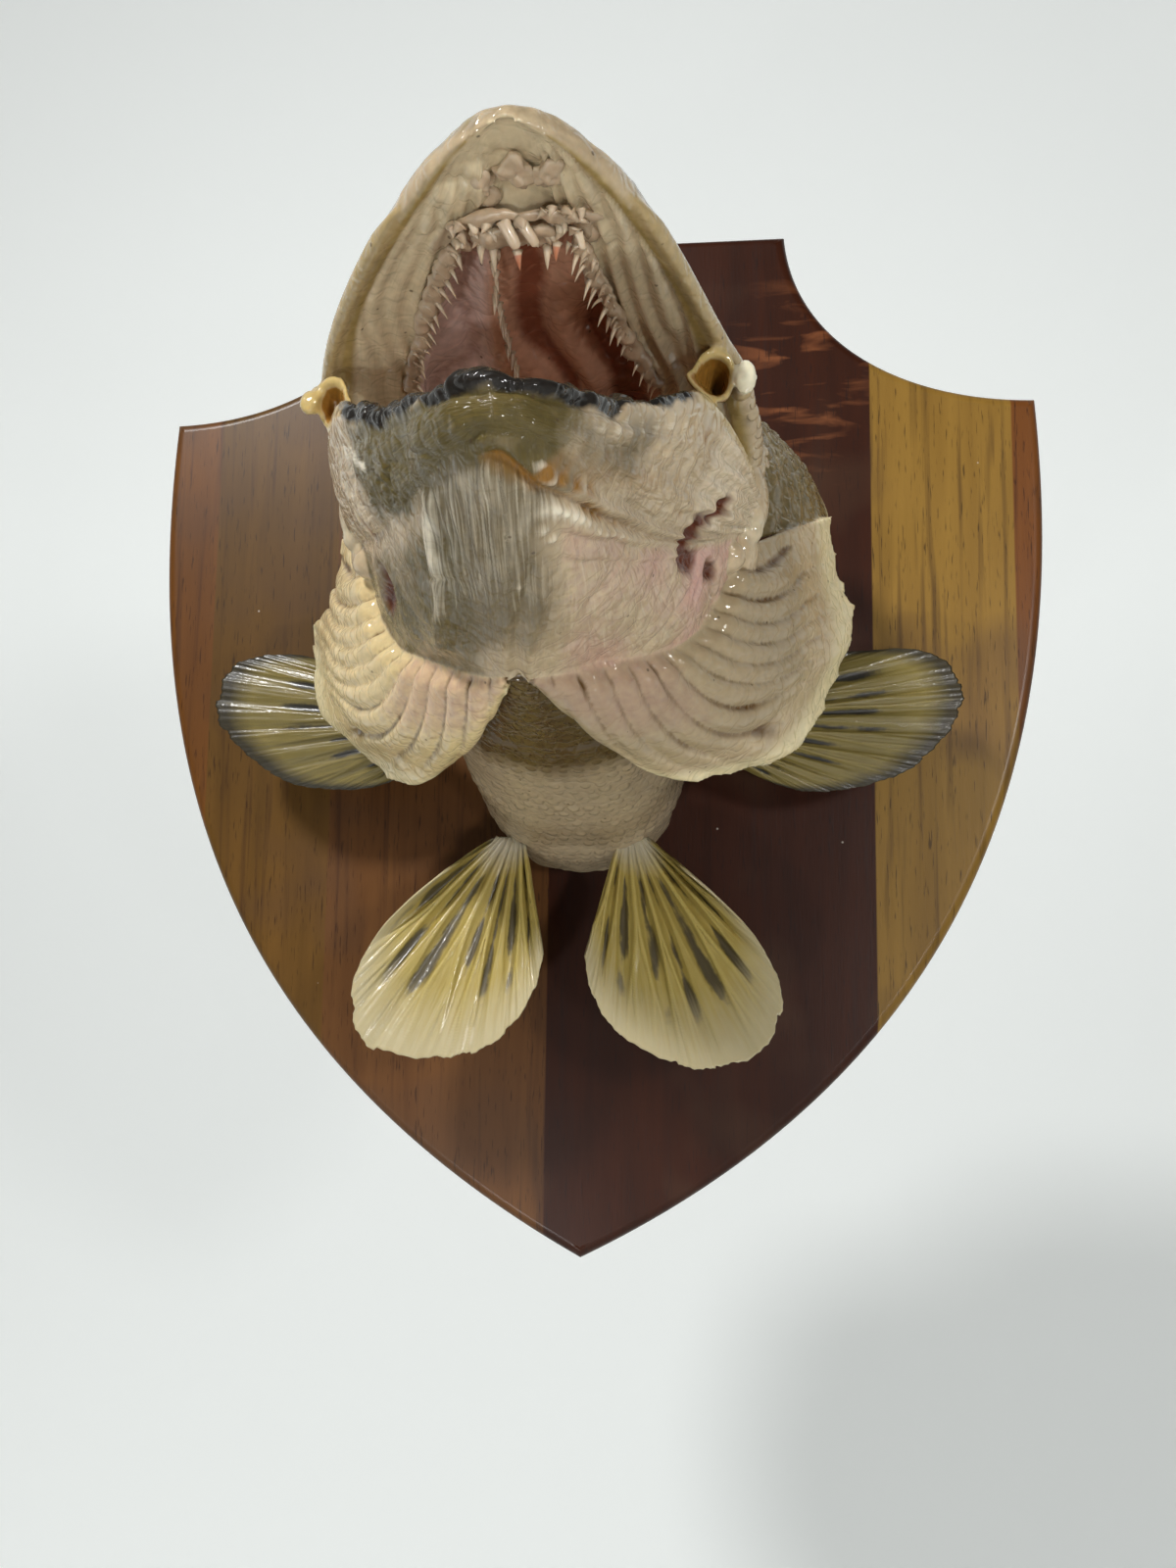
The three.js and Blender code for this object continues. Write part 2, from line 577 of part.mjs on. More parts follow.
function buildGillFan(side) {
  const last = GILL_RAYS.length - 1;
  const ray = (k, s) => {
    const { root, sag, end } = GILL_RAYS[k];
    const start = mirrored(hinge(0.5 + 0.5 * side * root), side);
    const stop = P(...end);
    const middle = start.clone().lerp(stop, 0.5).add(P(...sag));
    return start.multiplyScalar((1 - s) ** 2).addScaledVector(middle, 2 * s * (1 - s))
      .addScaledVector(stop, s * s);
  };
  const grid = [];
  for (let i = 0; i <= 2 * last; i += 1) {
    const [lo, hi] = [Math.floor(i / 2), Math.ceil(i / 2)];
    const row = [];
    for (let j = 0; j <= FAN_STEPS; j += 1) {
      const s = mix(0.03, lo === hi ? 1 : 0.985, j / FAN_STEPS);
      const point = ray(lo, s).lerp(ray(hi, s), 0.5);
      const fold = (lo === hi ? -PLEAT : PLEAT) * Math.sin(Math.PI * Math.min(s * 1.15, 1) * 0.75);
      point.add(P(-fold * 0.45, -fold * 0.4, fold * 0.8).multiplyScalar(i > 1 && i < 2 * last - 4 ? 1 : 0));
      row.push(mirrored(point, side));
    }
    grid.push(row);
  }
  return plate(grid, GILL_THICK);
}

// ---------------------------------------------------------------- fins
// A fin is a fan of rays about its root.  "reach" lists ray length by spread angle.
const FIN_THICK = 1.2;
const FIN_CELLS = [12, 5];
const FIN_RIPPLE = 0.5;

function buildFin({ root, side, reach, outAxis, crossAxis, baseSpread, drift, cup }) {
  const first = reach[0][0];
  const last = reach[reach.length - 1][0];
  const [rays, steps] = FIN_CELLS;
  const grid = [];
  for (let i = 0; i <= rays; i += 1) {
    const f = i / rays;
    const angle = THREE.MathUtils.degToRad(mix(first, last, f));
    const length = station(reach, mix(first, last, f));
    const row = [];
    for (let j = 0; j <= steps; j += 1) {
      const s = mix(0.02, 1, j / steps);
      const flat = root.clone()
        .addScaledVector(outAxis, length * s * Math.cos(angle))
        .addScaledVector(crossAxis, length * s * Math.sin(angle) + baseSpread * (f - 0.5) * (1 - s));
      const ripple = (i % 2 ? FIN_RIPPLE : -FIN_RIPPLE) * Math.min(1, 3 * s);
      flat.y -= drift * s + cup * Math.sin(Math.PI * f) * s + ripple;
      row.push(mirrored(flat, side));
    }
    grid.push(row);
  }
  return plate(grid, FIN_THICK);
}

const PECTORAL_REACH = [[-44, 20], [-36, 33], [-28, 44], [-18, 58], [-8, 70], [0, 78], [8, 81], [14, 80],
  [19, 73], [26, 54], [33, 36]];
const PELVIC_REACH = [[-20, 39], [-8, 55], [4, 65], [14, 70.5], [24, 74.5], [32, 75.5], [40, 70], [46, 62],
  [52, 46], [57, 22]];
const PELVIC_SHIFT = -2;     // both pelvic fins sit a little to the left of the middle

const pectoralFin = (side) => buildFin({
  side,
  root: P(39, 53, -4),
  reach: PECTORAL_REACH,
  outAxis: P(1, 0, 0),
  crossAxis: P(0, 0, 1),
  baseSpread: 12,
  drift: -8,
  cup: 3,
});

const pelvicFin = (side) => buildFin({
  side,
  root: P(19.5 + side * PELVIC_SHIFT, 43, -39),
  reach: PELVIC_REACH,
  outAxis: P(0, 0, -1),
  crossAxis: P(1, 0, 0),
  baseSpread: 9,
  drift: 15,
  cup: 4,
});

// ---------------------------------------------------------------- assembly
const HIDE = {
  walnut: { color: 0x4a2a1c, roughness: 0.35 },
  back: { color: 0x6f6a45, roughness: 0.35 },
  flank: { color: 0xa79e86, roughness: 0.35 },
  jawSkin: { color: 0xb8a98c, roughness: 0.3 },
  palate: { color: 0xa8946b, roughness: 0.3 },
  membrane: { color: 0xc7b28e, roughness: 0.3 },
  tongue: { color: 0x8a5a52, roughness: 0.3 },
  tooth: { color: 0xe2d9c2, roughness: 0.25 },
  eye: { color: 0xc9a23a, roughness: 0.1 },
  pelvic: { color: 0xa8954f, roughness: 0.35 },
  pectoral: { color: 0x6c6638, roughness: 0.35 },
};

const part = new THREE.Group();
part.name = 'mounted_pike_head';

function place(name, solid, look) {
  const { vertProperties, triVerts } = solid.getMesh();
  const geometry = new THREE.BufferGeometry();
  geometry.setAttribute('position', new THREE.BufferAttribute(new Float32Array(vertProperties), 3));
  geometry.setIndex(new THREE.BufferAttribute(new Uint32Array(triVerts), 1));
  geometry.computeVertexNormals();
  const material = new THREE.MeshStandardMaterial({ ...HIDE[look], metalness: 0 });
  const mesh = new THREE.Mesh(geometry, material);
  mesh.name = name;
  part.add(mesh);
}

const SIDES = [['left', -1], ['right', 1]];
const FIN_CLEARANCE = 1.02;  // the neck is swelled by this much before it cuts the fin roots
const jawCutter = buildLowerJaw(GAP);
const throatCutter = buildThroat(GAP);
const boneCutters = SIDES.map(([, side]) => buildMaxilla(side, GAP));
const eyeCutters = SIDES.map(([, side]) => eyeball(side, GAP));
const neck = buildNeck();
const neckCutter = neck.scale([FIN_CLEARANCE, 1, FIN_CLEARANCE]);
const skull = without(buildSkull(), [jawCutter, ...boneCutters, ...eyeCutters]);
const palateCutter = skull.translate([0, 0, -GAP]);
const breast = without(buildBreast(), [throatCutter]);
const breastCutters = [breast.translate([0, -GAP, 0]), breast.translate([0, 0, GAP])];

place('board', buildBoard(), 'walnut');
place('neck', neck, 'flank');
place('breast', breast, 'flank');
place('skull', skull, 'back');
place('lower_jaw', buildLowerJaw(), 'jawSkin');
place('throat', without(buildThroat(), [jawCutter]), 'jawSkin');
place('tongue', without(buildTongue(), [throatCutter, jawCutter, ...breastCutters]), 'tongue');
place('vomer', without(frontTeeth(), [palateCutter]), 'tooth');
for (const [word, side] of SIDES) {
  place(`eye_${word}`, eyeball(side), 'eye');
  place(`maxilla_${word}`, without(buildMaxilla(side), [jawCutter]), 'palate');
  place(`palatine_${word}`, without(toothRow(side), [palateCutter]), 'tooth');
  place(`gill_cover_${word}`, buildGillCover(side), 'back');
  place(`gill_fan_${word}`, without(buildGillFan(side), [throatCutter, jawCutter]), 'membrane');
  place(`pectoral_fin_${word}`, without(pectoralFin(side), [neckCutter]), 'pectoral');
  place(`pelvic_fin_${word}`, without(pelvicFin(side), [neckCutter]), 'pelvic');
}

export default part;
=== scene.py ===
# %% [markdown]
# # A mounted pike head on a wooden shield
# A taxidermist skins the head of a northern pike, fills it, spreads the gill covers, dries it
# with the mouth open and brushes clear varnish over everything.  The head stands on a
# shield-shaped walnut board.  This lesson models the flesh as clay: simple closed shells are
# pushed into each other, fused by a voxel remesh, smoothed and then wrinkled by formulas, so
# one unbroken skin covers all of it.  Eyes, teeth, fins and board stay separate pieces.

# %% Load the solid model
import math

import bmesh
import bpy
import numpy as np
from mathutils import Matrix, Vector
from mathutils.bvhtree import BVHTree


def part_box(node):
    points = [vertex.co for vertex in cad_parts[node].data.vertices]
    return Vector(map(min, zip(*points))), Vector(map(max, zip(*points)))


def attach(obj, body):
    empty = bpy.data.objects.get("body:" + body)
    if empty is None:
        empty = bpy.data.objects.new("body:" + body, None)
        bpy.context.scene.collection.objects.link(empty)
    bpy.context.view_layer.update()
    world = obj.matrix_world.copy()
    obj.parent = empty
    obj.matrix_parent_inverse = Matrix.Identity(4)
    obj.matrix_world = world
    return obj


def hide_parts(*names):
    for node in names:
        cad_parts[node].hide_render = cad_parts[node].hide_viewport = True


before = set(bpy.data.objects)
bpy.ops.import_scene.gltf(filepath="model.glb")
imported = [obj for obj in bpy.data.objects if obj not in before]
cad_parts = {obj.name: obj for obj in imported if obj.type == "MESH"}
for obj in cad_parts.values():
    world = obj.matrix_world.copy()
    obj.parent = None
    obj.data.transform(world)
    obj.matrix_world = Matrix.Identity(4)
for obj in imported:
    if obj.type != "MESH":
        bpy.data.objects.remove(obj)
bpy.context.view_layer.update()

rng = np.random.default_rng(7)
MM = 0.001

# %% [markdown]
# The wall is the plane y = 0 and the fish grows out of it towards -Y.  Shapes are written as
# (x, out, z) in millimetres, where "out" is the distance from the wall, and turned into
# Blender's metres at the very end.  The places of the snout, the chin, the cut of the head,
# the eyes and the board are read from the boxes of the solid pieces.

# %% Read the driving sizes from the solid pieces
def span(node):
    """Lowest and highest (x, out, z) of a solid piece, in millimetres."""
    low, high = np.array(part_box(node)) / MM
    return np.array([low[0], -high[1], low[2]]), np.array([high[0], -low[1], high[2]])


board_front = span("board")[1][1]
snout_tip = span("skull")[1][1] + 0.2
chin_tip = span("lower_jaw")[1][1] - 2.1
head_cut = span("skull")[0][1]
swing_size = 7.5
swing_from, swing_to = 160, 238
print("snout", snout_tip, "chin", chin_tip, "head from", head_cut, "board front", board_front)


def fade(lo, hi, v):
    """0 below lo, 1 above hi, smooth between."""
    t = np.clip((np.asarray(v, float) - lo) / (hi - lo), 0, 1)
    return t * t * (3 - 2 * t)


def mix(a, b, t):
    return a + (b - a) * t


def bump(v, centre, width):
    """A soft hill of height 1 about centre."""
    return np.exp(-(((np.asarray(v, float) - centre) / width) ** 2))


# %% Smooth lines through a few stations
def station(table, at):
    """Value of a smooth line through [position, value] stations in rising order."""
    x, y = np.array(table, float).T
    at = np.clip(np.asarray(at, float), x[0], x[-1])
    k = np.clip(np.searchsorted(x, at, side="right") - 1, 0, len(x) - 2)
    lo = np.maximum(np.arange(len(x)) - 1, 0)
    hi = np.minimum(np.arange(len(x)) + 1, len(x) - 1)
    slope = (y[hi] - y[lo]) / (x[hi] - x[lo])
    gap = x[k + 1] - x[k]
    t = (at - x[k]) / gap
    return ((1 + 2 * t) * (1 - t) ** 2 * y[k] + t * (1 - t) ** 2 * gap * slope[k]
            + t * t * (3 - 2 * t) * y[k + 1] + t * t * (t - 1) * gap * slope[k + 1])


def through(rows, t, closed=False):
    """Points at t (0 to 1) on a smooth curve through rows; t runs evenly from row to row."""
    p = np.array(rows, float)
    if closed:
        p = np.concatenate([p[-1:], p, p[:2]])
    else:
        p = np.concatenate([[2 * p[0] - p[1]], p, [2 * p[-1] - p[-2]]])
    count = len(p) - 3
    f = np.clip(np.asarray(t, float), 0, 1) * count
    k = np.minimum(f.astype(int), count - 1)
    s = (f - k)[:, None]
    a, b, c, d = p[k], p[k + 1], p[k + 2], p[k + 3]
    ab, bc, cd = [np.maximum(np.linalg.norm(v - u, axis=1, keepdims=True) ** 0.5, 1e-3)
                  for u, v in ((a, b), (b, c), (c, d))]
    out = ((b - a) / ab - (c - a) / (ab + bc) + (c - b) / bc) * bc
    into = ((c - b) / bc - (d - b) / (bc + cd) + (d - c) / cd) * bc
    return ((2 * s**3 - 3 * s**2 + 1) * b + (s**3 - 2 * s**2 + s) * out
            + (-2 * s**3 + 3 * s**2) * c + (s**3 - s**2) * into)


def swing(out):
    """How far the head leans to the right at a distance from the wall."""
    return swing_size * fade(swing_from, swing_to, out)


def swung(points):
    """Turns the snout and chin a little to the right of the neck."""
    p = np.array(points, float)
    p[..., 0] += swing(p[..., 1])
    return p


# %% [markdown]
# Every shell is a row of rings: each ring goes round the piece and the rings follow one
# another along it.  A plate, such as a gill cover, is the same thing with its front and back
# faces as the two halves of each ring.  Both carry numbers on their points: which piece they
# are, and how far along (u) and round (v) they lie, for the folds and colours later.

# %% Ring lofts and plates
shells = []          # (points, faces, kind, u, v) in millimetres


def add_shell(points, faces, kind, u, v):
    shells.append((np.asarray(points, float), faces, kind, np.asarray(u, float), np.asarray(v, float)))


def ring_faces(rings, count):
    """Quads over rings * count points, the two ends closed by one many-sided face each."""
    r = np.arange(rings - 1)[:, None] * count
    i = np.arange(count)[None, :]
    j = (i + 1) % count
    quads = np.stack([r + i, r + j, r + count + j, r + count + i], -1).reshape(-1, 4).tolist()
    first = list(range(count))[::-1]
    last = list(range((rings - 1) * count, rings * count))
    return quads + [first, last]


def loft(rings, kind, v=None):
    rings = np.asarray(rings, float)
    rows, count = rings.shape[:2]
    u = np.repeat(np.linspace(0, 1, rows), count)
    v = np.linspace(0, 1, count, endpoint=False) if v is None else v
    add_shell(rings.reshape(-1, 3), ring_faces(rows, count), kind, u, np.tile(v, rows))


def plate(grid, thickness, kind, u, v):
    """Closed plate about grid[i, j]; thickness may vary over the grid."""
    grid = np.asarray(grid, float)
    du, dv = np.gradient(grid, axis=0), np.gradient(grid, axis=1)
    normal = np.cross(du, dv)
    normal /= np.maximum(np.linalg.norm(normal, axis=2, keepdims=True), 1e-9)
    half = (np.ones(grid.shape[:2]) * thickness / 2)[..., None]
    front, back = grid + normal * half, grid - normal * half
    rings = np.concatenate([front, back[:, ::-1]], axis=1)
    rows, count = rings.shape[:2]
    add_shell(rings.reshape(-1, 3), ring_faces(rows, count), kind,
              np.concatenate([u, u[:, ::-1]], 1).ravel(), np.concatenate([v, v[:, ::-1]], 1).ravel())


# %% [markdown]
# The neck is what is left of the trunk: deeper than wide, and narrower towards the throat,
# where the breast runs forward as a keel between the two gill openings.

# %% Neck and breast shells
back_line = [[22, 60], [40, 71], [62, 83], [80, 88.5], [100, 91], [118, 88]]
belly_line = [[22, -49.5], [40, -46], [62, -38], [80, -31], [100, -24], [120, -19], [140, -15], [164, -12]]
neck_half = [[22, 32], [40, 35.5], [62, 37], [80, 36.5], [100, 35], [118, 30]]
breast_half = [[88, 35], [100, 32], [112, 26], [124, 20], [136, 13.5], [148, 8.5], [162, 4]]
breast_rise = [[88, 90], [100, 70], [112, 46], [124, 30], [136, 19], [148, 11], [162, 5]]
around = np.linspace(0, 2 * np.pi, 160, endpoint=False)


def neck_ring(out):
    top, low, half = [float(station(t, out)) for t in (back_line, belly_line, neck_half)]
    waist = mix(low, top, 0.36)
    up, side = np.sin(around), np.cos(around)
    power = np.where(up > 0, 0.95, 0.8)
    x = half * np.sign(side) * np.abs(side) ** power
    z = waist + np.where(up > 0, top - waist, waist - low) * np.sign(up) * np.abs(up) ** 0.9
    return np.stack([x, np.full_like(x, out), z], 1)


def breast_ring(out):
    low, half, rise = [float(station(t, out)) for t in (belly_line, breast_half, breast_rise)]
    ring = np.stack([half * np.cos(around), np.full_like(around, out),
                     low + rise * (0.5 + 0.5 * np.sin(around))], 1)
    return swung(ring)


loft([neck_ring(out) for out in np.arange(board_front + 0.3, 112, 1.5)], "neck")
loft([breast_ring(out) for out in np.arange(90, 162, 1.5)], "breast")
print("neck and breast:", [len(s[0]) for s in shells], "points")

# %% [markdown]
# The skull is a horseshoe in section: the roof over the top, the rims of the upper jaw (and
# behind them the cheeks) as its legs, and the hollow palate between.  The rims close to a
# pointed arch at the snout, like a duck's bill.

# %% Skull and upper jaw shell
roof_line = [[94, 89], [100, 91], [120, 92], [140, 91], [155, 88.5], [170, 85], [185, 82], [200, 79.5],
             [215, 77], [226, 74.8], [231, 72.8], [234, 70.5]]
roof_half = [[100, 33], [120, 31], [140, 27], [155, 25.5], [170, 25.5], [185, 23.5]]
rim_line = [[94, 33], [100, 36], [106, 40], [113, 44], [122, 48], [132, 52.5], [142, 56.5], [155, 59],
            [232, 67]]
cheek_half = [[94, 51], [100, 53], [113, 54], [130, 53], [142, 51], [155, 48.3]]
tooth_row = [[100, 27], [140, 29], [150, 28.5], [163, 24.5], [173, 21.5], [183, 18.7], [193, 15.5],
             [203, 11.4], [212, 6.5], [234, 2]]
palate_line = [[100, 57], [120, 60], [155, 63], [232, 69]]
cheek_rise = [[100, 24], [115, 18], [130, 9], [141, 5.5], [234, 5]]
flank_reach = [[100, 0.75], [120, 0.52], [141, 0.28], [162, 0.46], [185, 0.55]]


def rim_half(out):
    """Half width of the upper jaw's rim, which is a pointed arch from the snout back."""
    arch = 3.3 * np.maximum(snout_tip - out, 0.05) ** 0.61
    return mix(station(cheek_half, out), arch, fade(148, 158, out))


def skull_section(out):
    snout, nose = fade(150, 190, out), fade(218, 233, out)
    top, rim, wide = station(roof_line, out), station(rim_line, out), rim_half(out)
    roof = min(station(roof_half, out), wide * 0.8)
    shoulder = top - mix(mix(6, 3.5, snout), 1.2, nose)
    lip = mix(mix(7, 3.2, snout), 1.2, nose)
    side = rim + mix(station(cheek_rise, out), 1.2, nose)
    row = min(station(tooth_row, out), wide * 0.6)
    palate = min(station(palate_line, out), top - 2.4)
    vault = min(palate + mix(6, 0.6, fade(192, 204, out)) - 4 * float(bump(out, 141, 15)), top - 2)
    reach = station(flank_reach, out)
    right = [[0, top], [roof * 0.55, top - 0.5], [roof, shoulder],
             [mix(roof, wide, reach), mix(shoulder, side, 0.46)], [wide, side],
             [wide + mix(0.5, 0, nose), mix(rim, side, 0.35)], [wide - lip * 0.35, rim],
             [wide - lip, rim + 0.6], [mix(wide - lip, row, 0.5), mix(rim, palate, 0.55)],
             [row + 1, palate - 0.6], [row - min(2.5, row * 0.3), mix(palate, vault, 0.8)],
             [row * 0.45, vault], [0, vault - 0.3]]
    left = [[-x, z] for x, z in right[-2:0:-1]]
    return [[x, out, z] for x, z in right + left]


ring_steps = np.linspace(0, 1, 240, endpoint=False)
skull_outs = np.concatenate([np.arange(head_cut - 5, 226, 1.5), np.arange(226, 233.6, 0.6),
                             [233.9, 234.15]])
loft([swung(through(skull_section(float(o)), ring_steps, closed=True)) for o in skull_outs], "skull",
     ring_steps)
print("skull:", len(shells[-1][0]), "points, rim half width at the corner", float(rim_half(160)))

# %% [markdown]
# The lower jaw is one U-shaped bar from joint to joint.  It is tall in section, with the lip
# on top and the bone's edge below, and it leans so that the edge is nearer the middle.

# %% Lower jaw, throat and tongue shells
lip_rows = [[0, chin_tip - 0.5, 22], [7, 233.5, 23.2], [13.5, 223.5, 26.2], [19, 213, 29.8],
            [25, 202, 34], [32.5, 190, 40], [38.5, 178, 45.5], [43.5, 165, 47], [48, 150, 46],
            [51, 132, 45], [52.5, 115, 43]]
edge_rows = [[0, 236, 13], [6, 231.5, 12.8], [11, 222, 13], [14.5, 212, 13.6], [18, 202, 14.5],
             [22, 190, 15.8], [27, 176, 18], [34, 158, 21.5], [41, 140, 26.5], [46.5, 124, 32],
             [49.5, 113, 36.5]]
hinge_rows = [[0, 165, -12], [7, 160, -10.5], [17, 151, -6.5], [25, 143.5, -2.5], [32, 135.5, 1.5],
              [38.5, 129, 8.5], [42.5, 124, 17.5], [45.5, 120.5, 25], [48.5, 116.5, 32]]


def both_sides(rows, t):
    """Curve over both halves: t = 0 is the left end, 0.5 the middle and 1 the right end."""
    left = [[-x, out, z] for x, out, z in rows[:0:-1]]
    return swung(through(left + rows, t))


def jaw_rings(count):
    t = np.linspace(0, 1, count)
    lip, edge = both_sides(lip_rows, t), both_sides(edge_rows, t)
    centre, up = (lip + edge) / 2, lip - edge
    tall = np.linalg.norm(up, axis=1, keepdims=True) / 2
    up = up / (2 * tall)
    along = np.gradient(centre, axis=0)
    inward = np.cross(along, up)
    inward /= np.linalg.norm(inward, axis=1, keepdims=True)
    turn = np.linspace(0, 2 * np.pi, 64, endpoint=False)[None, :, None]
    return (centre[:, None] + inward[:, None] * 3.3 * np.cos(turn)
            + up[:, None] * (tall[:, None] - 0.1) * np.sin(turn))


loft(jaw_rings(320), "jaw")

throat_thick = 3.6
t_line, s_line = np.linspace(0.012, 0.988, 220), np.linspace(-0.02, 1.03, 70)
front, rear = both_sides(edge_rows, t_line), both_sides(hinge_rows, t_line)
throat_grid = front[:, None] + (rear - front)[:, None] * s_line[None, :, None]
throat_grid[..., 2] += (throat_thick / 2
                        - 3.2 * np.sin(np.pi * np.clip(s_line, 0, 1))[None] * np.sin(np.pi * t_line)[:, None])
plate(throat_grid, throat_thick, "throat", np.repeat(t_line[:, None], 70, 1),
      np.repeat(s_line[None], 220, 0))

tongue_rows = [[120, 14, -2, 13], [140, 14, -4, 12], [158, 13.5, -5, 11], [175, 12, -4, 11],
               [190, 10, 0, 12],
               [203, 7.5, 6, 14.5], [214, 4.5, 11, 16.5], [219, 1.5, 13.5, 15]]
tongue_outs = np.arange(120, 219.1, 1.5)


def tongue_ring(out):
    half, low, high = [float(station([[r[0], r[k]] for r in tongue_rows], out)) for k in (1, 2, 3)]
    up = np.sin(around)
    z = mix(low, high, 0.5 + 0.5 * np.sign(up) * np.abs(up) ** 0.6)
    return swung(np.stack([half * np.cos(around), np.full_like(up, out), z], 1))


loft([tongue_ring(o) for o in tongue_outs], "tongue")
print("jaw, throat, tongue:", [len(s[0]) for s in shells[-3:]], "points")

# %% [markdown]
# Each gill cover is a curved bony plate hinged on the cheek.  Under the throat hang the two
# gill fans: thin skin over a fan of curved rays, pulled wide open here.  Between two rays the
# skin bulges into a soft fold, so the fan is built as a smooth sheet first and the folds are
# pushed out along its own normal.

# %% Gill cover and gill fan shells
cover_front = [[38, 99.4, 84], [45, 99.4, 77], [49.5, 99.4, 67], [51, 99.4, 56], [50.5, 100.5, 45.5],
               [49, 103, 37.5]]
cover_rim = [[50, 66, 82], [60, 60, 80.5], [68.5, 57, 75.5], [74.5, 57, 66], [77, 60, 58], [75.5, 68, 52.5]]
left_tuck = 5
gill_rays = [[0.97, 0, 2, 0, 75.5, 70, 54.5], [0.875, 0, 4, -13, 78.5, 67, 44],
             [0.76, 0, 4, -18, 81.5, 64.5, 36],
             [0.69, 0, 4, -20, 82.5, 64, 28], [0.625, 0, 4, -20, 82, 64.5, 18],
             [0.56, -1, 4, -19, 79, 67, 7],
             [0.5, -2, 4, -17, 74, 71.5, -4], [0.44, -4, 4, -14, 66, 77.5, -14],
             [0.38, -6, 4, -12, 56.5, 84, -20.5],
             [0.32, -8, 4, -10, 47, 91, -25], [0.25, -8, 3, -8, 37.5, 98.5, -27],
             [0.18, -5, 2, -6, 25.5, 111, -24],
             [0.11, -2, 1, -3, 13, 134, -17], [0.045, 0, 0, 0, 3.2, 160, -12.8]]


def mirror(points, side):
    return points * np.array([side, 1, 1])


def build_cover(side):
    k, s = np.linspace(0, 1, 60), np.linspace(-0.32, 1, 60)
    front_line, rim_curve = through(cover_front, k), through(cover_rim, k)
    grid = front_line[:, None] + (rim_curve - front_line)[:, None] * s[None, :, None]
    grid[..., 0] += 3.5 * np.sin(np.pi * np.clip(s, 0, 1)) - (left_tuck * s if side < 0 else 0)
    grid[..., 0] -= 9 * np.clip(-s, 0, 1)
    thick = 2.3 * np.sqrt(1 - np.clip((s - 0.9) / 0.12, 0, 0.92) ** 2)
    plate(mirror(grid, side), thick[None, :] * np.ones((60, 1)), "cover",
          np.repeat(k[:, None], 60, 1), np.repeat(s[None], 60, 0))


fan_bow = [[0, 1.5], [2, 3], [4, 4.6], [5.2, 5], [6.5, 3], [8, 1.5], [13, 0.6]]
left_length = [[0, 0.3], [0.7, 0.34], [1.25, 0.52], [2.5, 0.84], [3.5, 0.96], [5, 1], [6, 0.97],
               [6.8, 0.88],
               [7.1, 0.9], [7.3, 0.96], [8.3, 1.0], [13, 1]]


def fan_line(i, s):
    """Number of the fold at a place: i counts rays, s runs from hinge to margin, and folds sag."""
    return i + station(fan_bow, i) * np.clip(s, 0, 0.62) ** 1.5


def fan_fold(i, s):
    """Height of the soft folds; broad and round, with a narrow crease between two of them."""
    lean = np.mod(fan_line(i, s), 1) ** 0.75
    dome = 1 - np.abs(2 * lean - 1) ** 3
    swell = fade(0.0, 0.1, s) * mix(1, 0.1, fade(0.35, 0.85, s))
    edge = fade(0.2, 1.2, i) * mix(1, 0.4, fade(10.5, 12.5, i))
    return dome * swell * edge


def build_fan(side):
    last = len(gill_rays) - 1
    i = np.linspace(0, last, 14 * last + 1)
    row = [station([[k, ray[c]] for k, ray in enumerate(gill_rays)], i) for c in range(7)]
    root = mirror(both_sides(hinge_rows, 0.5 + 0.5 * side * row[0]), side)
    end = np.stack(row[4:7], 1)
    middle = (root + end) / 2 + np.stack(row[1:4], 1)
    s = np.linspace(-0.03, 1, 96)[None, :, None]
    scallop = 0.99 + 0.035 * (1 - np.abs(np.sin(np.pi * i))) ** 1.5 * (1 + 0.6 * np.sin(2.4 * i + side))
    scallop *= station(left_length, i) if side < 0 else 1
    s = s * mix(1, scallop[:, None, None], np.clip(s, 0, 1) ** 3)
    grid = root[:, None] * (1 - s) ** 2 + middle[:, None] * 2 * s * (1 - s) + end[:, None] * s**2
    normal = np.cross(np.gradient(grid, axis=0), np.gradient(grid, axis=1))
    normal /= np.linalg.norm(normal, axis=2, keepdims=True)
    normal *= np.sign(normal[..., 1:2].mean())
    deep = 3.7 * fan_fold(i[:, None], s[..., 0])
    flutter = 1.3 * np.sin(1.7 * i[:, None] + 2 * side) * fade(0.55, 1, s[..., 0])
    grid = grid + normal * (deep + flutter - 0.6)[..., None]
    plate(mirror(grid, side), mix(1.9, 1.35, fade(0.3, 1, s[..., 0])), "fan",
          np.repeat(i[:, None], 96, 1), s[..., 0])


for side in (-1, 1):
    build_cover(side)
    build_fan(side)
print("gill shells:", [len(s[0]) for s in shells[-4:]], "points")

# %% [markdown]
# The upper-jaw bones run along the rims of the mouth.  Each swings down at the corner and
# ends in a bare pale knob, and a fold of yellow skin ties it to the end of the lower lip.

# %% Upper-jaw bones, corner folds and jaw joints
def beside(path):
    """Unit directions across a path and above it, at each of its points."""
    along = np.gradient(path, axis=0)
    along /= np.linalg.norm(along, axis=1, keepdims=True)
    across = np.cross(along, [0, 0, 1])
    across /= np.linalg.norm(across, axis=1, keepdims=True)
    return across, np.cross(across, along)


def globe(margin, rows=24, count=32):
    """Grid of a ball: the angle from its pole, stopping short by margin, and the angle round it."""
    return np.meshgrid(np.linspace(margin, np.pi - margin, rows),
                       np.linspace(0, 2 * np.pi, count, endpoint=False), indexing="ij")


def tube(path, wide, tall, kind, count=28):
    """Oval tube along path; wide and tall are half sizes at each point."""
    path = np.asarray(path, float)
    across, up = beside(path)
    turn = np.linspace(0, 2 * np.pi, count, endpoint=False)[None, :, None]
    loft(path[:, None] + across[:, None] * np.cos(turn) * np.reshape(wide, (-1, 1, 1))
         + up[:, None] * np.sin(turn) * np.reshape(tall, (-1, 1, 1)), kind)


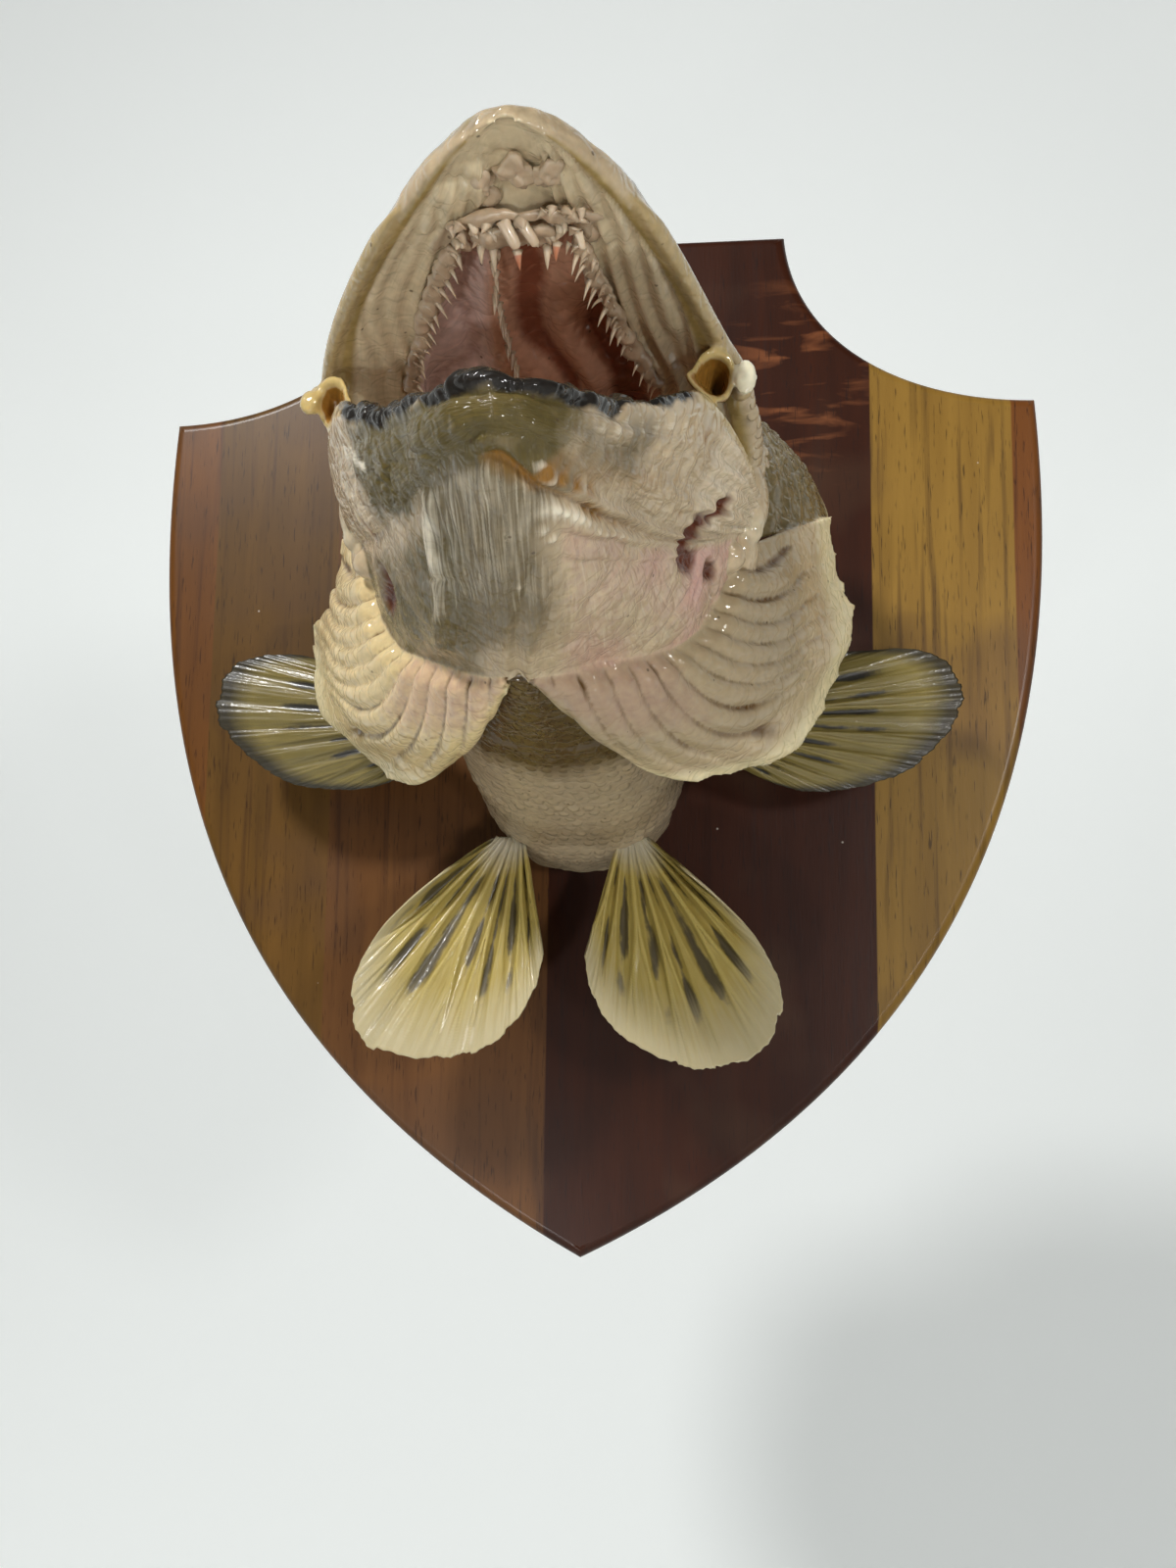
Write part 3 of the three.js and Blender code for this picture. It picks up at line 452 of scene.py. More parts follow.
def build_maxilla(side):
    outs = [214, 204, 194, 184, 174, 165, 157]
    rows = [[float(rim_half(o)) + 0.6, o, float(station(rim_line, o)) + 1.2] for o in outs]
    rows += [[49 - (side > 0), 153, 59.6], [50.2 - (side > 0), 149, 58.2]]
    t = np.linspace(0, 1, 110)
    knob = bump(t, 0.95, 0.05)
    taper = np.sqrt(np.clip(t / 0.12, 0.05, 1))
    path = through(swung(mirror(np.array(rows), side)), t)
    tube(path, taper * mix(1.7, 2.9, knob), taper * mix(2.2, 4.2, knob), "maxilla")


def ellipsoid(centre, half, kind, tilt=0.0):
    """A lump of clay pressed on the head, tilted about the X axis."""
    up, round_ = globe(0.02)
    local = np.stack([np.cos(up), np.sin(up) * np.cos(round_), np.sin(up) * np.sin(round_)], -1) * half
    c, s = math.cos(tilt), math.sin(tilt)
    local = local @ np.array([[1, 0, 0], [0, c, s], [0, -s, c]])
    loft(swung(local + np.array(centre, float)), kind)


def build_corner(side):
    """Fold of skin at the corner of the mouth: a raised rim round a funnel, and the bare knob."""
    rim = through([[36.6, 174, 50.8], [38, 172, 53], [39.2, 170, 55.9], [40.9, 169, 57.9],
                   [43.6, 168, 58.5],
                   [45.5, 167, 57.4], [46.2, 166.5, 55], [45.9, 166, 51.9], [44.6, 166, 49.2],
                   [41.5, 168, 48.4],
                   [38.6, 171.5, 49.2]], np.linspace(0, 1, 110), closed=True)
    rim = rim - np.array([0, 0, 3.5 * (side < 0)])
    thick = 0.45 + 0.35 * bump(np.linspace(0, 1, 110), 0.35, 0.25)
    tube(mirror(rim, side), thick, thick * 1.4, "corner", 20)
    s = np.linspace(0, 1, 30)[None, :, None]
    pocket = rim[:, None] * (1 - s) + np.array([43, 152 if side > 0 else 160, 55 if side > 0 else 51]) * s
    plate(mirror(pocket, side), 1.5, "pocket", np.repeat(np.linspace(0, 1, 110)[:, None], 30, 1),
          np.repeat(s[..., 0], 110, 0))
    drop = 0 if side > 0 else 2.6
    knob_half = [2.5, 1.6, 4.5] if side > 0 else [2.4, 1.6, 3.2]
    ellipsoid([(48.8 - drop / 4) * side, 167.3, 53.2 - drop], knob_half, "knob", 0.25)
    stalk = through([[48.6, 151, 59], [49.2, 157, 57], [48.8, 164, 54 - drop]], np.linspace(0, 1, 30))
    tube(mirror(stalk, side), 1.9 * np.ones(30), 2.3 * np.ones(30), "knob", 20)


for side in (-1, 1):
    build_maxilla(side)
    build_corner(side)
    ellipsoid([47.5 * side, 113, 31], [6.5, 9, 7.5], "joint")
    ellipsoid([51.5 * side, 117, 43], [5, 8, 10], "joint")
    ellipsoid([52 * side, 118.5, 35.5], [3, 3.4, 4.2], "joint", 0.4)
    ellipsoid([45.8 * side, 124, 26.5], [4.6, 4.4, 4.2], "joint", 0.3)
print("shells:", len(shells), "points:", sum(len(s[0]) for s in shells))

# %% [markdown]
# Now the clay is fused.  A voxel remesh keeps only the outside of the pile of shells, as one
# even net of small squares.  Afterwards every new point looks up the nearest spot on the old
# shells, so it still knows which piece it came from and where it lies along it.

# %% Fuse the shells into one skin
voxel = 0.62


def mesh_object(name, points, faces):
    """New object from (x, out, z) points in millimetres."""
    mesh = bpy.data.meshes.new(name)
    mesh.from_pydata((np.asarray(points) * [1, -1, 1] * MM).tolist(), [], faces)
    mesh.update()
    obj = bpy.data.objects.new(name, mesh)
    bpy.context.scene.collection.objects.link(obj)
    return obj


def coords(mesh):
    """Points of a mesh as (x, out, z) in millimetres."""
    flat = np.zeros(len(mesh.vertices) * 3)
    mesh.vertices.foreach_get("co", flat)
    return flat.reshape(-1, 3) * [1, -1, 1] / MM


def set_coords(mesh, points):
    mesh.vertices.foreach_set("co", (points * [1, -1, 1] * MM).ravel())
    mesh.update()


def apply_modifiers(obj):
    """Replaces the object's mesh by what its modifiers make of it."""
    graph = bpy.context.evaluated_depsgraph_get()
    made = bpy.data.meshes.new_from_object(obj.evaluated_get(graph))
    obj.modifiers.clear()
    obj.data = made
    return obj


starts = np.cumsum([0] + [len(s[0]) for s in shells])
pile_points = np.concatenate([s[0] for s in shells])
pile_faces = [[int(i + start) for i in face] for s, start in zip(shells, starts) for face in s[1]]
skin = mesh_object("skin", pile_points, pile_faces)
remesh = skin.modifiers.new("fuse", "REMESH")
remesh.mode = "VOXEL"
remesh.voxel_size = voxel * MM
apply_modifiers(skin)
print("fused skin:", len(skin.data.vertices), "points")

# %% Keep the outer skin, drop crumbs
def islands(mesh):
    """A number for each point: points joined by edges share it."""
    pairs = np.zeros(len(mesh.edges) * 2, int)
    mesh.edges.foreach_get("vertices", pairs)
    a, b = pairs.reshape(-1, 2).T
    label = np.arange(len(mesh.vertices))
    while True:
        low = np.minimum(label[a], label[b])
        before = label.copy()
        np.minimum.at(label, a, low)
        np.minimum.at(label, b, low)
        label = label[label]
        if (label == before).all():
            return label


label = islands(skin.data)
names, counts = np.unique(label, return_counts=True)
crumbs = np.flatnonzero(label != names[counts.argmax()])
if len(crumbs):
    bm = bmesh.new()
    bm.from_mesh(skin.data)
    bm.verts.ensure_lookup_table()
    bmesh.ops.delete(bm, geom=[bm.verts[i] for i in crumbs], context="VERTS")
    bm.to_mesh(skin.data)
    bm.free()
print("crumbs removed:", len(crumbs), "in", len(names) - 1, "islands")

# %% Look up where each point came from
kinds = sorted({s[2] for s in shells})
tri_list, tri_kind = [], []
for shell, start in zip(shells, starts):
    quads = np.array([f for f in shell[1] if len(f) == 4]) + start
    tri_list += [quads[:, [0, 1, 2]], quads[:, [0, 2, 3]]]
    tri_kind += [kinds.index(shell[2])] * (2 * len(quads))
tris = np.concatenate(tri_list)
tri_kind = np.array(tri_kind)
pile_u = np.concatenate([s[3] for s in shells])
pile_v = np.concatenate([s[4] for s in shells])
tree = BVHTree.FromPolygons(pile_points.tolist(), tris.tolist())


def look_up(points):
    """Kind, u and v of the spot on the shells that is nearest to each point."""
    found = [tree.find_nearest(p) for p in points.tolist()]
    spot = np.array([f[0] for f in found])
    t = np.array([f[2] for f in found])
    a, b, c = [pile_points[tris[t, k]] for k in range(3)]
    normal = np.cross(b - a, c - a)
    area = np.maximum((normal**2).sum(1), 1e-12)
    wb = (np.cross(spot - a, c - a) * normal).sum(1) / area
    wc = (np.cross(b - a, spot - a) * normal).sum(1) / area
    weights = np.stack([1 - wb - wc, wb, wc], 1)
    return tri_kind[t], (pile_u[tris[t]] * weights).sum(1), (pile_v[tris[t]] * weights).sum(1)


p = coords(skin.data)
kind, u, v = look_up(p)
on = {name: (kind == k) for k, name in enumerate(kinds)}
print({name: int(mask.sum()) for name, mask in on.items()})

# %% [markdown]
# The net still has small steps from the voxels.  A few rounds of moving each point towards
# the middle of its neighbours melt the pieces into each other, as a thumb would.  The thin
# fan margins get fewer rounds, because smoothing shrinks what is thin.

# %% Smooth the skin
edge_ends = np.zeros(len(skin.data.edges) * 2, int)
skin.data.edges.foreach_get("vertices", edge_ends)
edge_a, edge_b = edge_ends.reshape(-1, 2).T
valence = np.maximum(np.bincount(edge_a, minlength=len(p)) + np.bincount(edge_b, minlength=len(p)), 1)


def around_mean(field):
    """Mean of a per-point field over each point's neighbours."""
    field = np.asarray(field, float)
    cols = field.reshape(len(p), -1).T
    sums = [np.bincount(edge_a, c[edge_b], len(p)) + np.bincount(edge_b, c[edge_a], len(p)) for c in cols]
    return (np.stack(sums, 1) / valence[:, None]).reshape(field.shape)


def melt(points, rounds, amount):
    """Pulls points towards their neighbours' mean, then pushes back a little less (no shrinking)."""
    amount = np.broadcast_to(amount, len(points))[:, None]
    for _ in range(rounds):
        points = points + 0.55 * amount * (around_mean(points) - points)
        points = points - 0.5 * amount * (around_mean(points) - points)
    return points


def blurred(field, rounds):
    for _ in range(rounds):
        field = 0.5 * field + 0.5 * around_mean(field)
    return field


junction = blurred((np.abs(around_mean(kind.astype(float)) - kind) > 1e-6).astype(float), 4)
p = melt(p, 6, 1.0)
tip = on["skull"] * fade(223, 229, p[:, 1])
for _ in range(10):
    p = p + 0.5 * np.clip(junction * 2 + tip, 0, 1)[:, None] * (around_mean(p) - p)
print("smoothed", len(p), "points, junction points", int((junction > 0.3).sum()))

# %% [markdown]
# Dried skin is never smooth: it sags between the bones and puckers round them.  The folds are
# pushed in by formulas.  Each formula says where it acts (which piece, how far along it) and
# how high it stands, and all of them add up to one push along the skin's own normal.

# %% Tools for wrinkles
table_size = 32
noise_table = rng.random((table_size, table_size, table_size))


def cloud(points, size, shift=0.0):
    """Soft random field between -1 and 1 with blotches of about `size` millimetres."""
    q = points / size + shift
    cell = np.floor(q).astype(int)
    f = q - cell
    f = f * f * (3 - 2 * f)
    total = 0
    for corner in range(8):
        bits = np.array([corner & 1, corner >> 1 & 1, corner >> 2 & 1])
        k = (cell + bits) % table_size
        total = total + np.where(bits, f, 1 - f).prod(1) * noise_table[k[:, 0], k[:, 1], k[:, 2]]
    return 2 * total - 1


def creases(points, size, shift=0.0):
    """Sharp crossing creases: 0 on open skin, 1 in the bottom of a crease."""
    return np.clip(1 - 3.2 * np.abs(cloud(points, size, shift)), 0, 1) ** 1.5


def normals(points):
    set_coords(skin.data, points)
    flat = np.zeros(len(points) * 3)
    skin.data.vertices.foreach_get("normal", flat)
    return flat.reshape(-1, 3) * [1, -1, 1]


def near(points, centre, radius):
    """Soft ball about a centre, 1 in its middle."""
    away = ((points - np.array(centre, float)) ** 2).sum(1)
    return np.exp(-away / radius**2)


n = normals(p)
if (n * (p - p.mean(0))).sum() < 0:
    raise ValueError("the skin is inside out")
side = np.sign(p[:, 0] - swing(p[:, 1]))
height = p[:, 2]
out = p[:, 1]
print("highest point", height.max(), "furthest out", out.max())

# %% [markdown]
# The lower lip is thick, black and lumpy with glossy varnish.  Below it the skin hangs over
# the jaw bone, whose lower edge shows as a long ridge with a crease under it.  Behind that
# edge the throat skin is stretched in fine cords, with one deep crease down to the notch
# between the gill fans.

# %% Folds of the lower jaw and throat
jaw, throat = on["jaw"], on["throat"]
lip_top = bump(v, 0.26, 0.1) * jaw
lip_low = (0.37 + 0.055 * fade(0.46, 0.52, u) - 0.1 * fade(0.61, 0.71, u) + 0.03 * bump(u, 0.3, 0.06)
           + 0.03 * bump(u, 0.45, 0.04))
lip_black = jaw * fade(0.06, 0.13, v) * (1 - fade(-0.02, 0.03, v - lip_low + 0.035 * cloud(p, 7)
                                                  + 0.02 * cloud(p, 3)))
lip_black = lip_black * fade(0.17, 0.25, u) * (1 - fade(0.76, 0.80, u))
under_side = throat * (n[:, 2] < 0.2)
push = np.zeros(len(p))
push += lip_black * (0.8 * cloud(p, 7) + 0.6 * cloud(p, 3.0, 3.1) + 0.35 * cloud(p, 1.6, 6.0)
                     - 0.9 * creases(p, 9, 1.7))
push += lip_top * 2.4 * bump(u, 0.47, 0.03) + lip_top * 0.9 * bump(u, 0.36, 0.02)
push += jaw * bump(v, 0.36, 0.04) * 0.7 * bump(u, 0.5, 0.3)
push -= jaw * bump(v, 0.43, 0.03) * 0.8 * bump(u, 0.5, 0.3)
drape = jaw * fade(0.38, 0.46, v) * (1 - fade(0.70, 0.8, v))
push += drape * (0.9 * cloud(p, 12, 0.4) + 0.3 * cloud(p, 4.2, 5.0) - 0.3 * creases(p, 14, 2.2))
push -= drape * 0.5 * creases(p @ np.array([[0.5, 0.2, 0.6], [0.2, 0.9, 0], [0.4, 0, 1.4]]), 8, 3.3)
right_half = fade(0.5, 0.58, u)
for line, lift in ((0.47, 0.6), (0.53, -0.5), (0.585, 0.5)):
    push += jaw * right_half * lift * bump(v + 0.03 * cloud(p, 16), line, 0.018)
edge_line = 0.02 + 0.08 * fade(0.5, 0.56, u)
wander = 0.012 * cloud(p, 12, 8.0)
sharp = under_side * fade(0.46, 0.5, u) * (1 - fade(0.86, 0.93, u))
push += sharp * 1.15 * bump(v + wander, edge_line, 0.024)
push -= sharp * 1.3 * bump(v + wander, edge_line + 0.045, 0.02)
for row, lift in ((0.21, 0.6), (0.245, -0.6), (0.31, 0.5), (0.34, -0.55)):
    push += under_side * fade(0.54, 0.62, u) * (1 - fade(0.8, 0.88, u)) * lift * bump(
        v + 0.25 * (u - 0.7) + 0.02 * cloud(p, 9, row), row, 0.016)
frayed_u = u + 0.05 * cloud(p, 12, 4.5)
cords = under_side * fade(0.31, 0.38, u) * (1 - fade(0.49, 0.6, frayed_u)) * fade(0.02, 0.1, v)
cords = cords * (1 - fade(0.42, 0.8, v + 0.1 * cloud(p, 10, 5.5)))
drawn = p * [1, 0.3, 0.3]
push += (cords * (0.3 + 0.25 * cloud(drawn, 4, 6.0))
         * np.sin(2 * np.pi * (u * 34 + 0.9 * cloud(drawn, 5, 2.0))))
push += 0.5 * cords * cloud(p, 14, 5.5)
crease_at = mix(0.535, 0.5, fade(0.35, 0.85, v))
middle_crease = under_side * fade(0.3, 0.5, v) * bump(u + 0.004 * cloud(p, 6), crease_at, 0.009)
push -= 1.5 * middle_crease
push += under_side * fade(0.3, 0.5, v) * 0.8 * bump(u, crease_at + 0.022, 0.012)
pucker = under_side * fade(0.12, 0.3, v) * fade(0.54, 0.6, u)
push += pucker * (0.9 * cloud(p, 9, 4.0) - 0.8 * creases(p * [1, 0.8, 1], 11, 6.0)
                  - 0.3 * creases(p, 5, 9.0))
left_slack = under_side * fade(0.1, 0.3, v) * (1 - fade(0.40, 0.48, u))
push += left_slack * (0.7 * cloud(p, 9, 7.0) - 0.3 * creases(p, 13, 3.0))
hem = under_side * bump(u + 0.012 * cloud(p, 9), 0.362, 0.013) * fade(0, 0.1, v) * (1 - fade(0.82, 1, v))
push += 1.2 * hem
window = under_side * bump(u, 0.44, 0.06) * bump(v, 0.64, 0.2)
push -= 1.1 * window
ring_patch = near(p, [-22, 195, 19.5], 8)
push += 0.3 * ring_patch * np.sin(np.linalg.norm(p - [-22, 195, 19.5], axis=1) * 2.1)
push += 0.1 * window * np.sin(np.linalg.norm(p - [-6, 196, 1], axis=1) * 1.5 + 2 * cloud(p, 9, 1.5))


fray_field = np.stack([cloud(p, 5, shift) for shift in (1.0, 3.0, 5.0)], 1)


def stroke(line, radius, fray=0.8):
    """Soft mask along a line of places on the skin, its edge frayed by a random field."""
    spots = through(line, np.linspace(0, 1, 12))
    close = np.flatnonzero((np.abs(p - spots.mean(0)) < np.ptp(spots, axis=0) / 2 + 3 * radius + 2).all(1))
    frayed = p[close] + fray * fray_field[close]
    mask = np.zeros(len(p))
    mask[close] = np.max([near(frayed, spot, radius) for spot in spots], axis=0)
    return mask


jaw_edge_folds = stroke([[13, 226, 10.8], [20.3, 214.3, 11.3], [27, 198, 13.5], [33, 178, 18.5],
                         [36, 166, 23]], 1.5)
throat_folds = stroke([[20, 209, 9.8], [27, 190, 11.5], [32, 172, 15]], 1.3)
window_top = stroke([[-14, 187, 3.5], [-5, 195, 0.5], [3, 200, -0.6]], 1.2)
push -= 0.8 * jaw_edge_folds + 0.7 * throat_folds + 0.9 * window_top
# a flap of loose skin hangs from the right of the chin: a crease above it, a ridge along it
flap_top = stroke([[11, 233, 15.5], [22.5, 218.5, 17], [35, 183, 30.5]], 1.5)
flap_above = stroke([[12, 233, 18.5], [23.5, 219.5, 20.8], [35.5, 186, 34.5]], 2.4)
flap_edge = stroke([[9.5, 232.5, 13.8], [12.5, 229, 11.6], [14.3, 224, 10.3]], 1.1)
push += 0.9 * flap_edge + 0.8 * flap_above - 1.0 * flap_top
# strands of dried skin across the right of the throat and under the chin
strand_lines = [[[15.5, 216, 7], [21, 203, 8.5], [25, 186, 10.5]],
                [[12, 213, 4.5], [19, 198, 6.5], [23, 181, 8]],
                [[9, 205, 1.5], [17, 190, 2.5], [22, 173, 4]],
                [[-21, 200, 21.5], [-24, 190, 17], [-27, 178, 13]],
                [[-27, 186, 22], [-30, 175, 17], [-31, 166, 14]],
                [[6, 200, -1], [12, 186, -1.5], [16, 172, -1]]]
strands = np.max([stroke(line, 1.0, 1.2) for line in strand_lines], axis=0)
push += 0.8 * strands
print("lip points", int((lip_black > 0.5).sum()), "cord points", int((cords > 0.5).sum()))

# %% Folds of the gill fans and the holes at the jaw joints
fan = on["fan"]
push += fan * 0.2 * cloud(p, 6, 1.0) * fade(0.1, 0.3, v)
line_gap = np.abs(np.mod(fan_line(u, v) + 0.5, 1) - 0.5)
# the crease between two folds of a fan: dented here, and darkened in colour later as painted shade
valley_dent_and_shade = fan * (0.75 + 0.5 * cloud(p, 7, 2.0)) * bump(line_gap, 0, 0.13) * (u > 0.3)
valley_dent_and_shade = valley_dent_and_shade * fade(0.0, 0.08, v) * (1 - fade(0.42, 0.88, v))
push -= 1.0 * valley_dent_and_shade
crevices = [([[45, 146.5, 32], [43.5, 149, 29.5], [42, 150.5, 27.5]], 2.0),
            ([[39.5, 153, 24.5], [36.5, 155.5, 21], [35.2, 155, 18.3], [37, 148.5, 17.5]], 3.0),
            ([[40.9, 138.6, 18.6], [42.5, 134, 19.6]], 2.2), ([[-33.5, 166, 24], [-32.8, 167, 21]], 2.0),
            ([[-31.8, 160, 12.5], [-31.6, 157, 10.5], [-34.5, 146, 9.5]], 3.0)]
pit = np.zeros(len(p))
swell = np.zeros(len(p))
for crevice, radius in crevices:
    for spot in through(crevice, np.linspace(0, 1, 9)):
        pit = np.maximum(pit, near(p + 0.6 * cloud(p, 7)[:, None], spot, radius))
        swell = np.maximum(swell, near(p, spot, 2.2 * radius))
push += 1.1 * swell - 3.0 * pit
cheek_strip = jaw * fade(0.83, 0.87, u) * fade(0.3, 0.36, v) * (1 - fade(0.62, 0.7, v))
push += cheek_strip * (0.7 * np.sin(2 * np.pi * (v * 16 + 0.4 * cloud(p, 9))) - 0.5 * creases(p, 6, 2.0))
print("hole points", int((pit > 0.5).sum()), "cheek strip points", int((cheek_strip > 0.5).sum()))

# %% [markdown]
# Inside the mouth, the skin between the rim and the rows of teeth lies in long ridges that
# run along the rim.  The deep middle of the palate has a few broad folds running back into
# the throat.

# %% Folds of the palate
skull = on["skull"]
fold_v = 0.5 - np.abs(v - 0.5)
band = skull * fade(0.272, 0.292, fold_v) * (1 - fade(0.372, 0.384, fold_v))
vault = skull * fade(0.374, 0.386, fold_v)
along_rim = fold_v * 40 + 1.1 * cloud(p * [1, 0.4, 1], 15, 3.0) + 0.03 * (out - 190)
band_rise = np.where(side < 0, mix(0.3, 0.7, fade(0.35, 0.372, fold_v)), 0.85)
push += (band * (band_rise * np.sin(2 * np.pi * along_rim) + 0.3 * cloud(p, 6, 2.0))
         * (1 - fade(222, 231, out)))
push += band * 1.1 * (side > 0) * fade(0, 1, (176 - out) / 10) * np.sin(2 * np.pi * along_rim * 0.6)
vault_fold = np.sin(2 * np.pi * ((v - 0.5) * 13 + 0.6 * cloud(p, 20, 1.0)))
push += vault * (1.7 * vault_fold - 0.8 * creases(p * [1, 0.35, 1], 9, 5.0)) * (1 - fade(196, 210, out))
front_pad = skull * fade(0.285, 0.33, fold_v) * fade(194, 205, out)
push += front_pad * (1 - fade(220, 228, out)) * (1.3 * cloud(p, 6, 6.0) + 0.6 * cloud(p, 2.8, 7.0)
                                                 - 0.9 * creases(p, 6, 2.0))
print("band points", int((band > 0.5).sum()), "vault points", int((vault > 0.5).sum()))

# %% [markdown]
# The outside of the head carries what a pike has: a flat duck-bill snout with two nostrils a
# side, a ridge over each eye, the curved edge of the cheek bone and rows of sensory pores.

# %% Relief of the outer head, the neck and the gill covers
outer = skull * (1 - fade(0.255, 0.275, fold_v))
push += outer * bump(fold_v, 0.085, 0.02) * 0.9 * fade(135, 150, out) * (1 - fade(205, 228, out))
push -= outer * bump(fold_v, 0.03, 0.02) * 1.0 * fade(165, 180, out) * (1 - fade(215, 228, out))
push += outer * (0.25 * cloud(p, 8, 3.0) + 0.16 * cloud(p, 3, 8.0))
nostrils = sum(near(p, [x * s, o, 84.5], 2.0) for s in (-1, 1) for x, o in ((17.5, 171.5), (18.6, 166.5)))
push -= 2.2 * np.clip(nostrils, 0, 1)
preopercle = outer * bump(out, 113 + 7 * bump(height, 45, 12), 1.6) * (height < 78)
push -= 1.3 * preopercle
push += outer * 0.9 * bump(out, 109 + 7 * bump(height, 45, 12), 2.4) * (height < 78)
pores = [[27 + 4.6 * k, 196 - 12.5 * k, 27 + 3.6 * k] for k in range(5)]
pore = sum(near(p, [x * s + float(swing(o)), o, z], 1.15) * jaw
           for s in (-1, 1) for x, o, z in pores)
push -= 1.4 * np.clip(pore, 0, 1)
body = on["neck"] + on["breast"]
push += body * (0.5 * cloud(p, 13, 2.0)
                - 0.15 * creases(p * [0.5, 1.3, 0.5], 12, 4.0) * (height < 10) - 0.5)
ruffle = body * (1 - fade(24, 34, out))
push += ruffle * (0.4 * np.sin(np.arctan2(height, p[:, 0]) * 19 + 2 * cloud(p, 9)) + 0.5)
cover = on["cover"]
push += cover * (0.4 * cloud(p, 10, 5.0) + 0.18 * np.sin(2 * np.pi * (v * 7 + 0.3 * cloud(p, 12))))
print("nostril points", int((nostrils > 0.5).sum()), "pore points", int((pore > 0.5).sum()))

# %% [markdown]
# A glass eye sits in a socket of skin.  The skin behind the ball is pulled in under it, and
# the skin round it is drawn over its edge as a thin lid.

# %% Eye sockets and the pushed skin
eye_radius = float((span("eye_right")[1] - span("eye_right")[0])[1] / 2)
eye_centre = (span("eye_right")[0] + span("eye_right")[1]) / 2
eye_axis = np.array([0.93, 0.22, 0.30]) / np.linalg.norm([0.93, 0.22, 0.30])
opening = math.radians(52)
push = push * (1 - near(p, eye_centre, 9)) * (1 - near(p, eye_centre * [-1, 1, 1], 9))
p = p + n * (0.92 * push)[:, None]
lid = np.zeros(len(p))
for s in (-1, 1):
    d = p - eye_centre * [s, 1, 1]
    r = np.linalg.norm(d, axis=1)
    angle = np.arccos(np.clip((d @ (eye_axis * [s, 1, 1])) / np.maximum(r, 1e-6), -1, 1))
    inside = (1 - fade(opening - 0.08, opening + 0.05, angle)) * (r < eye_radius + 6)
    hug = fade(opening - 0.12, opening + 0.02, angle) * (1 - fade(opening + 0.1, opening + 0.75, angle))
    goal = np.where(inside > 0.5, eye_radius - 1.6, np.maximum(r, eye_radius + 0.9))
    reach = np.clip(inside + hug * (r < eye_radius + 7), 0, 1)
    p = p + d / np.maximum(r, 1e-6)[:, None] * ((goal - r) * reach)[:, None]
    lid += bump(angle, opening + 0.1, 0.13) * (r < eye_radius + 5) * outer
print("eye radius", eye_radius, "lid points", int((lid > 0.5).sum()))

# %% [markdown]
# Colour comes next.  Each region of colour is a soft mask on the points: the olive back, the
# black lip, the red-brown mouth, the pink throat.  A mask is a formula too, so the same
# markings can be given to the scales later.  One more layer, `lie`, holds how far a point is
# across and along the fibres of its piece, so that fine lines can follow them.

